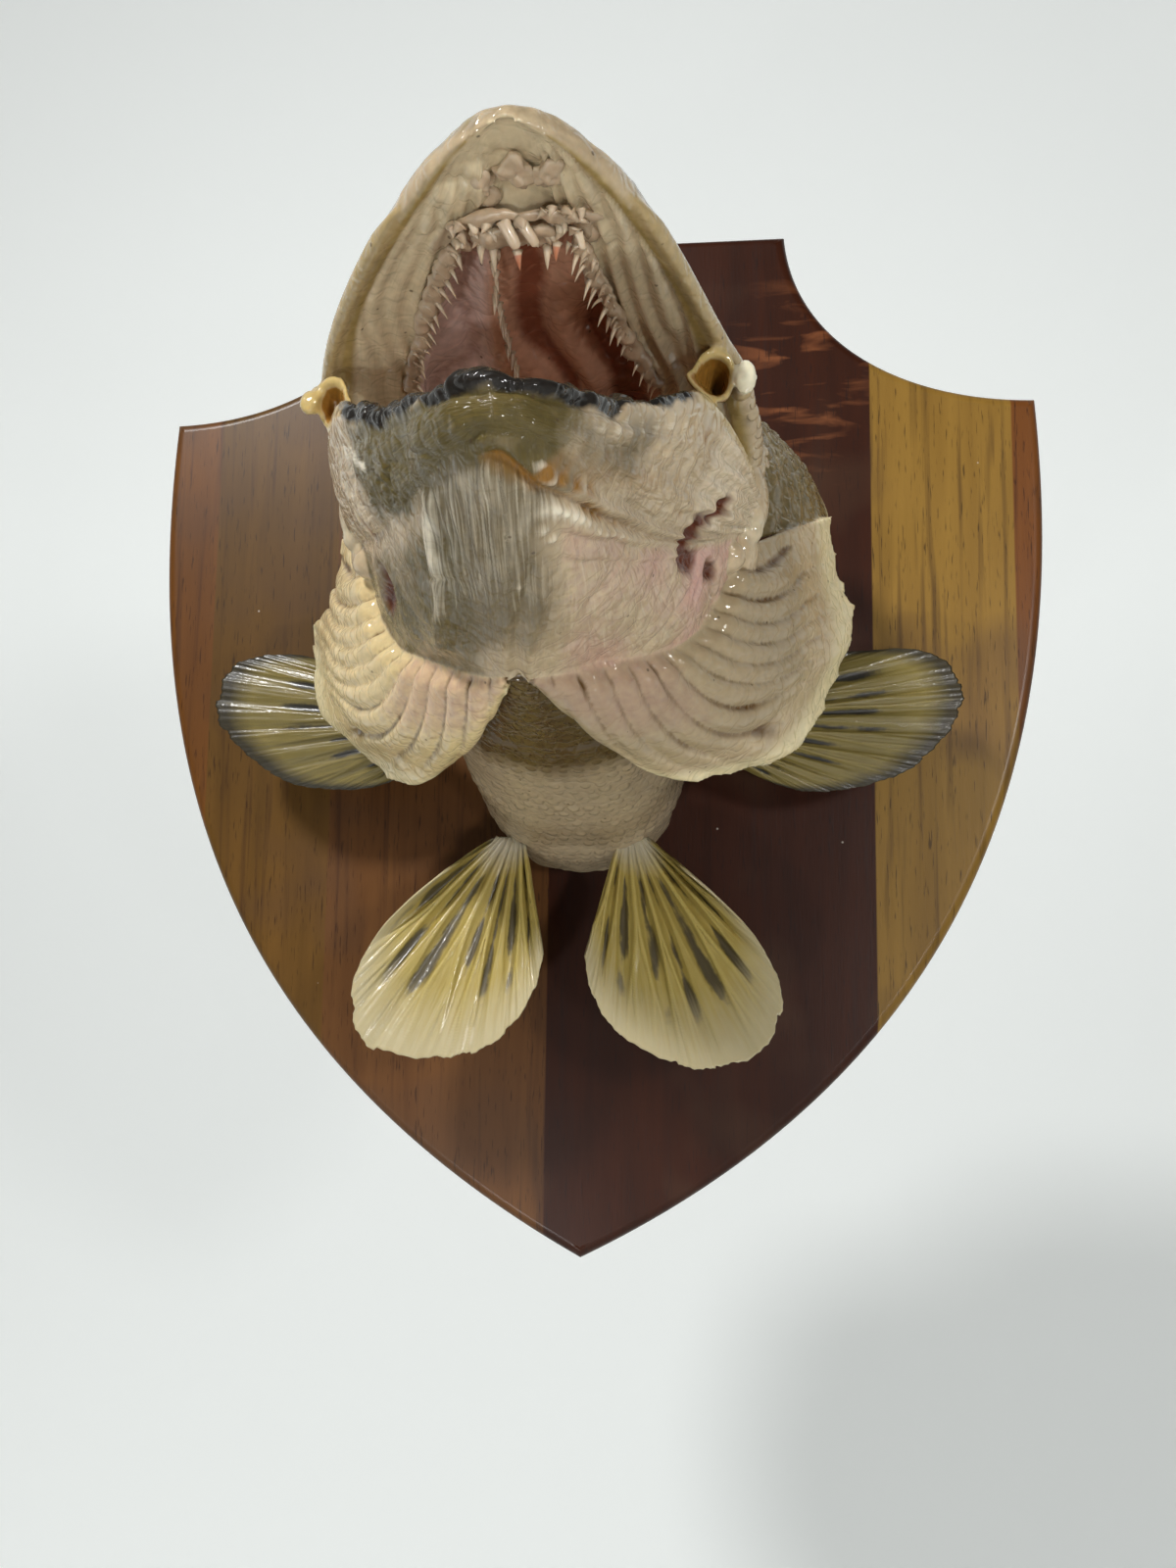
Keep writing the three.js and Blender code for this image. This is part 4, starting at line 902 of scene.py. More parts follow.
# %% Colour masks
shade = under_side * fade(0.29, 0.38, u) * (1 - fade(0.44, 0.66, frayed_u)) * (1 - fade(0.7, 0.96, v))
mottle = np.clip(0.95 + 0.3 * cloud(p * [1, 0.5, 0.6], 4.5, 2.0) + 0.2 * cloud(p, 2.2, 4.0), 0.55, 1.15)
inner_jaw = jaw * np.maximum(1 - fade(0.05, 0.14, v), fade(0.84, 0.92, v))
flank = fade(-12, 26, height + 7 * cloud(p, 14, 1.0))
lip_ends = np.maximum(fade(0.77, 0.81, u), 1 - fade(0.17, 0.21, u))
maxilla = on["maxilla"]
mouth_lining = vault * (1 - fade(194, 204, out)) + on["tongue"] + inner_jaw + throat * (n[:, 2] > 0.25)
masks = {
    "olive": (outer * (1 - fade(0.11, 0.21, fold_v + 0.03 * cloud(p, 9)))
              * mix(0.45, 1, fade(44, 66, height)) * mix(1, 0.35, fade(200, 228, out))
              + body * flank + cover * 0.72 * (1 - fade(0.86, 0.95, v))),
    "rim": skull * bump(fold_v, 0.262, 0.026) + 0.6 * maxilla,
    "band": band + front_pad,
    "fibres": 0.9 * cords + 0.2 * drape * right_half * bump(v, 0.55, 0.08) + 0.3 * cheek_strip + 0.3 * band
              + 0.1 * fan + 0.25 * hem,
    "mouth": np.clip(mouth_lining, 0, 1),
    "lilac": vault * fade(0.52, 0.545, v) * (1 - fade(0.60, 0.63, v)) * (1 - fade(185, 200, out)),
    "wine": (vault * (1 - fade(194, 204, out)) * np.clip(-vault_fold, 0, 1)
             * (1 - 0.6 * fade(0.52, 0.545, v))),
    "plum": skull * (fold_v > 0.34) * bump(out, 205, 5),
    "lip": lip_black,
    "straw": jaw * bump(v, 0.27, 0.08) * lip_ends + on["corner"] + on["knob"] * (side < 0),
    "strip": cheek_strip,
    "ochre": (0.55 * stroke([[8, 229, 10.5], [12, 225, 9.8]], 3.2)
              + 0.4 * stroke([[16, 226, 12.5], [24, 209, 15.5], [31, 187, 23]], 3.4) + 0.3 * flap_top
              + 0.7 * near(p, [-14, 226, 20], 5)
              + near(p, [35, 183, 46], 5) + 0.8 * jaw_edge_folds + 0.7 * throat_folds
              + 0.6 * sharp * bump(v + wander, edge_line + 0.042, 0.014) + on["pocket"]
              + 0.9 * stroke([[43.6, 162, 42], [44.9, 156, 38.5]], 1.5)
              + 0.9 * near(p, [45.6, 149, 35.5], 1.4)
              + 0.8 * near(p, [41, 172, 38], 2.0) + near(p, [-46, 134, 28], 2.6)),
    "pink": pucker * (0.45 + 0.35 * cloud(p, 13)) + 0.45 * fan * (1 - fade(0.2, 0.6, v)) * fade(5, 8, u),
    "grey": (0.35 * window + 0.7 * shade * mottle + 0.45 * fan * (side > 0) * (1 - fade(0.45, 0.85, v))
             + 0.25 * cords + 0.4 * on["neck"] * (1 - fade(-12, 4, height))
             # painted shade under the right of the lip, where the skin turns down away from the light
             + 0.85 * mottle * stroke([[14, 230, 17], [22, 215, 19], [29, 200, 25]], 6.5, 2)),
    # smoky olive skin: the dark band just under the lip is painted shade, where the skin turns down away from
    # the light; over the left of the throat it is see-through skin
    "smoke_and_shade": mottle * (0.9 * stroke([[-29, 190, 31], [-17.4, 208, 26], [-6, 226, 21], [3, 236, 18.5],
                                     [14, 231, 17]], 8, 2)
              + 0.9 * stroke([[-30, 182, 24], [-19, 199, 18.5]], 8, 2) + 0.7 * left_slack
              + 0.75 * stroke([[-21, 203, 15], [-11, 216, 11.5], [0, 231, 11], [9, 231, 10.5]], 4.5, 2)
              + 0.5 * drape * fade(0.22, 0.3, u) * (1 - fade(0.5, 0.6, u))),
    "slack": under_side + drape,
    # pale milky skin, partly painted highlights: the whitish streaks on the cords and along the flap stand in
    # for glints
    "milk_and_highlight": (0.36 * cords + 0.2 * hem + 0.5 * cheek_strip + 0.25 * pucker + 0.7 * flap_edge
             + 0.5 * flap_above
             + 0.5 * strands
             + 0.3 * stroke([[-13.5, 203, 9], [-13, 194, 6]], 2.4, 1.5)
             + 0.35 * stroke([[13.5, 217, 6.7], [20, 210, 8.5]], 2.5, 1.5)
             + 0.7 * stroke([[-36, 176, 36], [-28, 190, 27]], 2.2, 1.5)),
    # dark red-brown in the bottoms of the pits
    "dark_red_pit": np.clip(1.4 * pit, 0, 1),
    # painted shade on the breast and neck under the gill fans, and a darker brown band low on the neck
    "dark_patch": (0.9 * on["breast"] + on["neck"] * fade(84, 110, out + 3 * cloud(p, 8))) * (height < 0)
             + 0.4 * on["neck"] * (height < -20) * bump(out, 57, 9),
    "fan": fan * (0.3 + 0.6 * (side < 0)),
    # painted shade in the creases of the gill fans
    "valley_dent_and_shade": 1.9 * valley_dent_and_shade,
    "margin": fan * fade(0.72, 0.98, v) + cover * fade(0.86, 0.95, v),
    "bone": on["knob"] * (side > 0) + 0.7 * near(p, [52, 119, 35.5], 4)
    + 0.7 * near(p, [-52, 119, 35.5], 4),
}
masks["spots"] = masks["olive"] * (1 - 0.8 * cover)
for name, values in masks.items():
    masks[name] = np.clip(blurred(np.asarray(values, float), 1 if name == "valley_dent_and_shade" else 2), 0, 1)
print({name: int((values > 0.5).sum()) for name, values in masks.items()})

# %% Directions of the fibres
turn = np.arctan2(height - 15, p[:, 0])
across = np.select([throat, jaw, fan, skull, cover, maxilla],
                   [u * 200, v * 80, u * 8, fold_v * 240, u * 50, v * 12], out)
along = np.select([throat, jaw, fan, skull, cover, maxilla],
                  [v * 60, u * 450, v * 75, out, v * 40, u * 60], turn * 40)
lie = np.stack([across, along, side * 100], 1)


def store(mesh, name, values):
    """Writes a per-point layer that materials can read by name."""
    kind_of = "FLOAT" if values.ndim == 1 else "FLOAT_VECTOR"
    layer = mesh.attributes.new(name, kind_of, "POINT")
    layer.data.foreach_set("value" if values.ndim == 1 else "vector",
                           np.ascontiguousarray(values, float).ravel())


def shade_smooth(mesh):
    mesh.polygons.foreach_set("use_smooth", np.ones(len(mesh.polygons), bool))


set_coords(skin.data, p)
for name, values in masks.items():
    store(skin.data, name, values)
store(skin.data, "lie", lie)
shade_smooth(skin.data)
print("layers on the skin:", len(masks) + 1)

# %% [markdown]
# A material is built from nodes.  One helper adds a node with its settings and links; another
# turns a hex colour as read off a paint card into the linear numbers that Blender wants.

# %% Helpers for materials
def hex_colour(code):
    """Linear RGBA from an sRGB hex colour."""
    channels = [int(code[i:i + 2], 16) / 255 for i in (1, 3, 5)]
    return [c / 12.92 if c <= 0.04045 else ((c + 0.055) / 1.055) ** 2.4 for c in channels] + [1]


def add(tree, kind, inputs=None, **settings):
    """Adds one node.  A value in inputs may be a number, a colour or another node's output."""
    node = tree.nodes.new(kind)
    for key, value in settings.items():
        setattr(node, key, value)
    for key, value in (inputs or {}).items():
        if isinstance(value, bpy.types.NodeSocket):
            tree.links.new(value, node.inputs[key])
        else:
            node.inputs[key].default_value = value
    return node


def new_material(name):
    material = bpy.data.materials.new(name)
    material.use_nodes = True
    return material, material.node_tree, material.node_tree.nodes["Principled BSDF"]


def connect(tree, shader, **sockets):
    for key, value in sockets.items():
        socket = shader.inputs[key.replace("_", " ")]
        if isinstance(value, bpy.types.NodeSocket):
            tree.links.new(value, socket)
        else:
            socket.default_value = value


def wash(tree, under, colour, amount, ragged=None, bite=0.6):
    """Lays a colour over another where `amount` says, its edge broken up by a noise."""
    if ragged is not None:
        lowered = add(tree, "ShaderNodeMath", {0: ragged, 1: -bite}, operation="MULTIPLY")
        amount = add(tree, "ShaderNodeMath", {0: amount, 1: 1 + bite, 2: lowered.outputs[0]},
                     operation="MULTIPLY_ADD", use_clamp=True).outputs[0]
    return add(tree, "ShaderNodeMix", {0: amount, 6: under, 7: hex_colour(colour)},
               data_type="RGBA").outputs[2]


def per_mm(size):
    """Noise scale whose features are `size` millimetres across."""
    return 1 / (size * MM)


def layer_value(tree, name):
    return add(tree, "ShaderNodeAttribute", attribute_name=name).outputs["Fac"]


def noise(tree, at, scale, detail, distortion=0.0):
    """Cloudy noise between 0 and 1."""
    return add(tree, "ShaderNodeTexNoise", {"Vector": at, "Scale": scale, "Detail": detail,
                                            "Distortion": distortion}).outputs["Fac"]


def ramp(tree, value, low, high, to_low=0.0, to_high=1.0, soft=False):
    """Carries low..high over to to_low..to_high and holds still beyond the ends."""
    return add(tree, "ShaderNodeMapRange", {0: value, 1: low, 2: high, 3: to_low, 4: to_high},
               interpolation_type="SMOOTHSTEP" if soft else "LINEAR").outputs[0]


def maths(tree, operation, *values):
    return add(tree, "ShaderNodeMath", dict(enumerate(values)), operation=operation).outputs[0]


def vector(tree, operation, a, b):
    return add(tree, "ShaderNodeVectorMath", {0: a, 1: b}, operation=operation).outputs[0]


def mixed(tree, amount, a, b):
    """The colour that lies amount of the way from a to b."""
    return add(tree, "ShaderNodeMix", {0: amount, 6: a, 7: b}, data_type="RGBA").outputs[2]


def bumped(tree, height, strength, deep, over=None):
    """Bump of a height, deep millimetres at its full rise, laid over another bump if one is given."""
    inputs = {"Height": height, "Strength": strength, "Distance": deep * MM}
    if over is not None:
        inputs["Normal"] = over
    return add(tree, "ShaderNodeBump", inputs).outputs[0]


# %% [markdown]
# The skin is dried fish skin under several coats of clear varnish.  Dried skin is matt and
# slightly see-through; the varnish is a smooth glassy coat, which gives the small white
# sparkles on every wrinkle.  Pike are olive above with rows of pale oval spots and cream
# below.  Fine fibres, half a millimetre apart in life, are drawn about 0.9 mm apart so they
# still show.

# %% Material: varnished fish skin
def fish_skin(name, fibre_height):
    material, tree, shader = new_material(name)
    place = add(tree, "ShaderNodeTexCoord").outputs["Object"]
    lie_at = add(tree, "ShaderNodeAttribute", attribute_name="lie").outputs["Vector"]
    coarse = noise(tree, place, per_mm(14), 3.0)
    fine = noise(tree, place, per_mm(2.2), 4.0)
    stretch = vector(tree, "MULTIPLY", lie_at, (1 / 0.9, 1 / 14, 1))
    fibre = noise(tree, stretch, 1.0, 2.0, 0.4)
    colour = mixed(tree, coarse, hex_colour("#CDB896"), hex_colour("#A38E70"))
    # Some of these washes are painted light: the dark brown in the creases of the fans and on the breast
    # under the fans is painted shade, the smoky olive just under the lip is partly painted shade, and the
    # pale milky wash is partly painted highlights on the cords and the flap.
    washes = [("fan", "#D3BC8B", fine, 0.5), ("pink", "#C4968A", fine, 0.7),
              ("grey", "#75674D", coarse, 0.6), ("smoke_and_shade", "#5C4F2A", coarse, 0.7),
              ("milk_and_highlight", "#E2D6BE", fibre, 1.5), ("ochre", "#8E6428", fine, 0.6),
              ("strip", "#CDBB9E", fibre, 0.8), ("margin", "#E2D2A6", fine, 0.6),
              ("valley_dent_and_shade", "#5E421F", fine, 0.3), ("dark_patch", "#54401F", coarse, 0.5),
              ("olive", "#57491F", fine, 0.5), ("rim", "#A48C55", fine, 0.4),
              ("band", "#D6C4A0", fine, 0.5), ("mouth", "#C8987C", coarse, 0.3),
              ("lilac", "#DCC0B4", coarse, 0.5), ("wine", "#864E38", fine, 0.5),
              ("plum", "#B6A184", fine, 0.8), ("straw", "#BBA268", fine, 0.4),
              ("lip", "#1C1712", fine, 0.7), ("dark_red_pit", "#5A2810", fine, 0.4),
              ("bone", "#DCD4B8", fine, 0.2)]
    for name, code, ragged, bite in washes:
        colour = wash(tree, colour, code, layer_value(tree, name), ragged, bite)
    # pale oval spots, 11 mm long and 5 mm high, only on the olive skin
    oval = vector(tree, "MULTIPLY", place, (per_mm(7), per_mm(15), per_mm(7)))
    cells = add(tree, "ShaderNodeTexVoronoi", {"Vector": oval, "Scale": 1.0, "Randomness": 0.75})
    spot = ramp(tree, cells.outputs["Distance"], 0.36, 0.26)
    spotted = maths(tree, "MULTIPLY", spot, layer_value(tree, "spots"))
    colour = wash(tree, colour, "#A89A62", spotted, fine, 0.5)
    # threads of darker skin between the fibres, and a few specks of dust in the varnish
    fibrous = layer_value(tree, "fibres")
    thread = ramp(tree, fibre, 0.52, 0.72, 0, 0.5)
    thread = maths(tree, "MULTIPLY", thread, fibrous)
    colour = wash(tree, colour, "#6A5A42", thread)
    dots = add(tree, "ShaderNodeTexVoronoi", {"Vector": place, "Scale": per_mm(6.5)}).outputs["Distance"]
    speck = ramp(tree, dots, 0.075, 0.045, 0, 0.7)
    colour = wash(tree, colour, "#4C3A26", speck)
    shade = ramp(tree, fine, 0.25, 0.75, 0.84, 1.1)
    colour = add(tree, "ShaderNodeVectorMath", {0: colour, "Scale": shade}, operation="SCALE").outputs[0]
    fibre_rise = maths(tree, "MULTIPLY", fibrous, fibre_height)
    fibres = bumped(tree, fibre, fibre_rise, 0.3)
    grain = bumped(tree, fine, 0.15, 0.3, fibres)
    pools = noise(tree, place, per_mm(5.5), 1.0)
    varnish = bumped(tree, pools, 0.35, 1.0)
    # the varnish film has shrunk into a net of creases, and their edges catch the light
    bend = add(tree, "ShaderNodeTexNoise",
               {"Vector": place, "Scale": per_mm(5), "Detail": 0.0}).outputs["Color"]
    bent = add(tree, "ShaderNodeVectorMath", {0: bend, 1: (7 * MM, 7 * MM, 7 * MM), 2: place},
               operation="MULTIPLY_ADD").outputs[0]
    film = add(tree, "ShaderNodeTexVoronoi", {"Vector": bent, "Scale": per_mm(6)},
               feature="DISTANCE_TO_EDGE").outputs["Distance"]
    film = ramp(tree, film, 0, 0.14, soft=True)
    varnish = bumped(tree, film, 0.35, 0.9, varnish)
    # slack skin dries into long sharp wrinkles that follow its lie, coarse ones and fine ones
    slack = layer_value(tree, "slack")
    for wide, length, deep, sharp in ((5.0, 30.0, 1.6, 0.10), (2.2, 12.0, 0.7, 0.14)):
        drawn_at = vector(tree, "MULTIPLY", lie_at, (1 / wide, 1 / length, 1))
        folded = noise(tree, drawn_at, 1.0, 1.0, 0.6)
        folded = maths(tree, "SUBTRACT", folded, 0.5)
        folded = maths(tree, "ABSOLUTE", folded)
        folded = ramp(tree, folded, 0, sharp, soft=True)
        strength = maths(tree, "MULTIPLY", slack, 0.2)
        grain = bumped(tree, folded, strength, deep, grain)
        varnish = bumped(tree, folded, strength, 0.7 * deep, varnish)
    dry = ramp(tree, fine, 0, 1, 0.38, 0.62)
    edge = layer_value(tree, "edge")
    worn = ramp(tree, edge, 0.55, 0.95, 0, 0.45)
    colour = wash(tree, colour, "#BCA878", worn)
    dark = maths(tree, "MAXIMUM", layer_value(tree, "smoke_and_shade"), layer_value(tree, "grey"))
    shine = ramp(tree, dark, 0, 1, 0.9, 0.5)
    connect(tree, shader, Base_Color=colour, Roughness=dry, IOR=1.45, Normal=grain, Coat_Weight=shine,
            Specular_IOR_Level=0.1, Coat_Roughness=0.06, Coat_IOR=1.52, Coat_Normal=varnish,
            Subsurface_Weight=0.12,
            Subsurface_Radius=(1.0, 0.55, 0.35), Subsurface_Scale=1.6 * MM)
    return material


skin_material = fish_skin("varnished_fish_skin", 0.6)
skin.data.materials.append(skin_material)
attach(skin, "root")
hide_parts("skull", "neck", "breast", "throat", "lower_jaw", "tongue", "maxilla_left",
            "maxilla_right",
            "gill_cover_left", "gill_cover_right", "gill_fan_left", "gill_fan_right")
print("skin material nodes:", len(skin_material.node_tree.nodes))

# %% [markdown]
# A pike's neck, cheeks and the upper half of its gill covers carry small round scales, each
# growing out of the skin at its front end and lying over the next ones towards the tail.
# Rays are shot at the skin from outside, in rows staggered like roof slates; where a ray hits
# scaly skin one scale is set, a thin closed lens tilted up a little at its free end.

# %% Shape of one scale
lens_sides = 12
lens_turn = np.linspace(0, 2 * np.pi, lens_sides, endpoint=False)
edge_shape = np.stack([0.5 + 0.5 * np.cos(lens_turn),
                       np.sin(lens_turn) * (1 - 0.12 * np.cos(lens_turn))], 1)
inner_shape = np.stack([0.5 + 0.3 * np.cos(lens_turn), 0.6 * np.sin(lens_turn)], 1)
lens = np.concatenate([edge_shape, inner_shape, [[0.5, 0]], edge_shape, [[0.5, 0]]])
lens_lift = np.concatenate([np.full(lens_sides, 0.0), np.full(lens_sides, 0.16), [0.2],
                            np.full(lens_sides + 1, -0.12)])
crown, under, bottom = 2 * lens_sides, 2 * lens_sides + 1, 3 * lens_sides + 1
lens_faces = []
for k in range(lens_sides):
    j = (k + 1) % lens_sides
    lens_faces += [[k, j, lens_sides + j, lens_sides + k], [lens_sides + k, lens_sides + j, crown],
                   [under + k, bottom, under + j], [k, under + k, under + j, j]]
skin_quads = [tuple(poly.vertices) for poly in skin.data.polygons]
skin_tree = BVHTree.FromPolygons(p.tolist(), skin_quads)
skin_normals = normals(p)
print("points in a scale:", len(lens), "faces:", len(lens_faces))


def find_skin(start, aim):
    """Where a ray from start towards aim meets the skin: the nearest skin point, or -1 if it misses."""
    spot, _, face, _ = skin_tree.ray_cast(Vector(start), (Vector(aim) - Vector(start)).normalized())
    if face is None:
        return -1, None
    corners = list(skin_quads[face])
    return corners[int(np.argmin(((p[corners] - np.array(spot)) ** 2).sum(1)))], np.array(spot)


def scale_piece(name, roots, tilt=0.13):
    """One mesh of many scales; roots holds (skin point, place, length, width, unwrap u, unwrap v)."""
    index = np.array([root[0] for root in roots])
    place = np.array([root[1] for root in roots])
    long_, wide, at_u, at_v = np.array([root[2:] for root in roots]).T
    up = blurred_normals[index]
    tail = np.array([0, -1.0, 0]) - up * (up @ np.array([0, -1.0, 0]))[:, None]
    tail = tail / np.linalg.norm(tail, axis=1, keepdims=True)
    tail = tail + up * (tilt * (1 + 0.25 * rng.standard_normal(len(roots))))[:, None]
    across = np.cross(tail, up)
    across += tail * (0.06 * rng.standard_normal(len(roots)))[:, None]
    points = (place[:, None] - up[:, None] * 0.22
              + tail[:, None] * (lens[None, :, :1] - 0.12) * long_[:, None, None]
              + across[:, None] * lens[None, :, 1:] * wide[:, None, None] / 2
              + up[:, None] * lens_lift[None, :, None])
    count = len(lens)
    faces = [[k + count * n_scale for k in face] for n_scale in range(len(roots)) for face in lens_faces]
    obj = mesh_object(name, points.reshape(-1, 3), faces)
    for layer, values in masks.items():
        store(obj.data, layer, np.repeat(values[index], count))
    rim = np.concatenate([np.ones(lens_sides), np.full(lens_sides, 0.3), [0], np.ones(lens_sides), [0]])
    store(obj.data, "edge", np.tile(rim * lens[:, 0], len(roots)))
    scale_lie = np.stack([lens[None, :, 1] * wide[:, None] / 2 + 9.0 * np.arange(len(roots))[:, None],
                          lens[None, :, 0] * long_[:, None], np.zeros((len(roots), count))], -1)
    store(obj.data, "lie", scale_lie.reshape(-1, 3))
    unwrap = obj.data.uv_layers.new(name="OFBake")
    patch = np.stack([at_u[:, None] + 0.003 * (lens[None, :, 0] - 0.5),
                      at_v[:, None] + 0.0015 * lens[None, :, 1]], -1).reshape(-1, 2)
    corner_points = np.zeros(len(obj.data.loops), int)
    obj.data.loops.foreach_get("vertex_index", corner_points)
    unwrap.data.foreach_set("uv", patch[corner_points].ravel())
    shade_smooth(obj.data)
    obj.data.materials.append(scale_material)
    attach(obj, "root")
    triangles = sum(len(face) - 2 for face in lens_faces) * len(roots)
    print(name, len(roots), "scales,", triangles, "triangles")


# %% Scales of the neck
scale_material = fish_skin("varnished_scales", 0.5)
blurred_normals = blurred(skin_normals, 3)
blurred_normals /= np.linalg.norm(blurred_normals, axis=1, keepdims=True)
back_roots, belly_roots = [], []
neck_from, neck_to = 27, 158
row_gap, scale_gap = 3.3, 4.4
scale_long, scale_wide = 5.2, 4.6
for row, o in enumerate(np.arange(neck_from, neck_to, row_gap)):
    ring = neck_ring(min(o, 111))
    centre = np.array([0, o, ring[:, 2].mean()])
    walk = np.concatenate([[0], np.cumsum(np.linalg.norm(np.diff(ring[:, [0, 2]], axis=0), axis=1))])
    for w in np.arange(scale_gap / 2 * (row % 2), walk[-1], scale_gap):
        x, z = np.interp(w, walk, ring[:, 0]), np.interp(w, walk, ring[:, 2])
        outward = np.array([x, o, z]) - centre
        outward /= np.linalg.norm(outward)
        index, spot = find_skin(centre + outward * 150, centre)
        if index < 0 or not body[index] or ruffle[index] > 0.4:
            continue
        belly = spot[2] < -8
        size = 0.85 if belly else 1.0
        (belly_roots if belly else back_roots).append(
            (index, spot, scale_long * size, scale_wide * size, 0.02 + 0.96 * w / walk[-1],
             0.02 + 0.7 * (o - neck_from) / (neck_to - neck_from)))
scale_piece("scales_back", back_roots)
scale_piece("scales_belly", belly_roots, 0.06)

# %% Scales of the cheeks and gill covers
cheek_from, cheek_to, cheek_row = 58, 152, 2.5
cheek_low, cheek_high, cheek_gap = 30, 92, 3.2
cheek = outer * (out < cheek_to) * (fold_v > 0.1) * (fold_v < 0.235) * (preopercle < 0.4) * (lid < 0.2)
scaly_cover = on["cover"] * (u < 0.62) * (v > 0.05) * (v < 0.84)
for word, s in (("left", -1), ("right", 1)):
    roots = []
    for row, o in enumerate(np.arange(cheek_from, cheek_to, cheek_row)):
        for z in np.arange(cheek_low + cheek_gap / 2 * (row % 2), cheek_high, cheek_gap):
            index, spot = find_skin((130 * s, o, z), (0, o, z))
            if index < 0 or not (cheek[index] or scaly_cover[index]):
                continue
            if np.linalg.norm(spot - eye_centre * [s, 1, 1]) < eye_radius + 3.5:
                continue
            roots.append((index, spot, 3.7, 3.3, 0.02 + 0.96 * (z - cheek_low) / (cheek_high - cheek_low),
                          0.74 + 0.24 * (o - cheek_from) / (cheek_to - cheek_from)))
    scale_piece("scales_cheek_" + word, roots)

# %% [markdown]
# The teeth of a pike's palate stand in two long bands and a patch at the front, hundreds of
# fine fangs that lean back into the mouth.  They grow from lumpy gum.  Each band is a gum bar,
# a tube whose surface is pushed about by noise, with curved cones set in it by a loop.

# %% Gum bars and fangs
def new_piece(name, parts, material, replaced=(), layers=()):
    """Joins (points, faces, values...) parts in (x, out, z) millimetres into one riding piece."""
    offsets = np.cumsum([0] + [len(part[0]) for part in parts])
    points = np.concatenate([np.asarray(part[0], float) for part in parts])
    faces = [[int(i) + int(o) for i in face] for part, o in zip(parts, offsets) for face in part[1]]
    obj = mesh_object(name, points, faces)
    bm = bmesh.new()
    bm.from_mesh(obj.data)
    bmesh.ops.recalc_face_normals(bm, faces=bm.faces)
    bm.to_mesh(obj.data)
    bm.free()
    for k, layer in enumerate(layers):
        store(obj.data, layer, np.concatenate([np.asarray(part[2 + k], float) for part in parts]))
    shade_smooth(obj.data)
    obj.data.materials.append(material)
    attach(obj, "root")
    if replaced:
        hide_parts(*replaced)
    return obj


def rings_part(rings, *values):
    """Closed part from rings; each value is one number per ring or per ring point."""
    rings = np.asarray(rings, float)
    rows, count = rings.shape[:2]
    spread = [np.broadcast_to(np.asarray(val, float).reshape(rows, -1), (rows, count)).ravel()
              for val in values]
    return (rings.reshape(-1, 3), ring_faces(rows, count), *spread)


def fang(root, tip, radius, bend, bone=1.0):
    """Curved cone from root to tip; bend is how far its middle is pushed sideways."""
    root, tip = np.array(root, float), np.array(tip, float)
    t = np.array([0, 0.15, 0.35, 0.6, 0.8, 0.93, 1.0])
    path = root + (tip - root) * t[:, None] + np.array(bend, float) * np.sin(np.pi * t)[:, None]
    along = np.gradient(path, axis=0)
    along /= np.linalg.norm(along, axis=1, keepdims=True)
    across = np.cross(along, [0.31, 0.92, 0.2])
    across /= np.linalg.norm(across, axis=1, keepdims=True)
    other = np.cross(along, across)
    turn = np.linspace(0, 2 * np.pi, 8, endpoint=False)[None, :, None]
    size = (radius * np.array([1.35, 1.0, 0.85, 0.6, 0.36, 0.17, 0.05]))[:, None, None]
    rings = path[:, None] + (across[:, None] * np.cos(turn) + other[:, None] * np.sin(turn)) * size
    return rings_part(rings, fade(0.05, 0.4, t) * bone)


def gum_bar(path, wide, tall, seed):
    """Lumpy tube of gum along a path."""
    t = np.linspace(0, 1, len(path))
    across, up = beside(path)
    turn = np.linspace(0, 2 * np.pi, 30, endpoint=False)[None, :, None]
    ends = np.sqrt(np.clip(1 - (2 * t - 1) ** 8, 0.02, 1))[:, None, None]
    rings = path[:, None] + (across[:, None] * np.cos(turn) * wide
                             + up[:, None] * np.sin(turn) * tall) * ends
    flat = rings.reshape(-1, 3)
    lumps = 0.9 * cloud(flat, 3.4, seed) + 0.45 * cloud(flat, 1.5, seed + 2)
    away = (rings - path[:, None]).reshape(-1, 3)
    away /= np.maximum(np.linalg.norm(away, axis=1, keepdims=True), 1e-6)
    return rings_part((flat + away * lumps[:, None]).reshape(rings.shape), np.zeros(len(path)))


def peg(root, tip, radius, bone):
    """Worn flat-ended stick of a tooth."""
    root, tip = np.array(root, float), np.array(tip, float)
    t = np.array([0, 0.1, 0.4, 0.75, 0.93, 1.0])
    along = (tip - root) / np.linalg.norm(tip - root)
    across = np.cross(along, [0, 1, 0])
    across /= np.linalg.norm(across)
    other = np.cross(along, across)
    turn = np.linspace(0, 2 * np.pi, 14, endpoint=False)[None, :, None]
    size = (radius * np.array([1.2, 1.05, 0.95, 0.9, 0.75, 0.35]))[:, None, None]
    path = root + (tip - root) * t[:, None]
    rings = path[:, None] + (across * np.cos(turn) + other * np.sin(turn) * 0.55) * size
    return rings_part(rings, np.full(len(t), bone))


def lump(centre, radius, seed):
    """Soft lump of gum."""
    up, round_ = globe(0.03)
    local = np.stack([np.sin(up) * np.cos(round_), np.sin(up) * np.sin(round_), 0.42 * np.cos(up)],
                     -1) * radius
    flat = local.reshape(-1, 3) + centre
    uneven = 0.7 * cloud(flat, 3.0, seed) + 0.35 * cloud(flat, 1.2, seed)
    return rings_part((flat + local.reshape(-1, 3) * uneven[:, None]).reshape(local.shape),
                      np.full(24, 0.4))


def palate_spot(x, out_at, drop=0.0):
    """A place on the palate at signed half width x."""
    return swung(np.array([x, out_at, float(station(palate_line, out_at)) - drop]))


band_fangs = 46
beads = 17


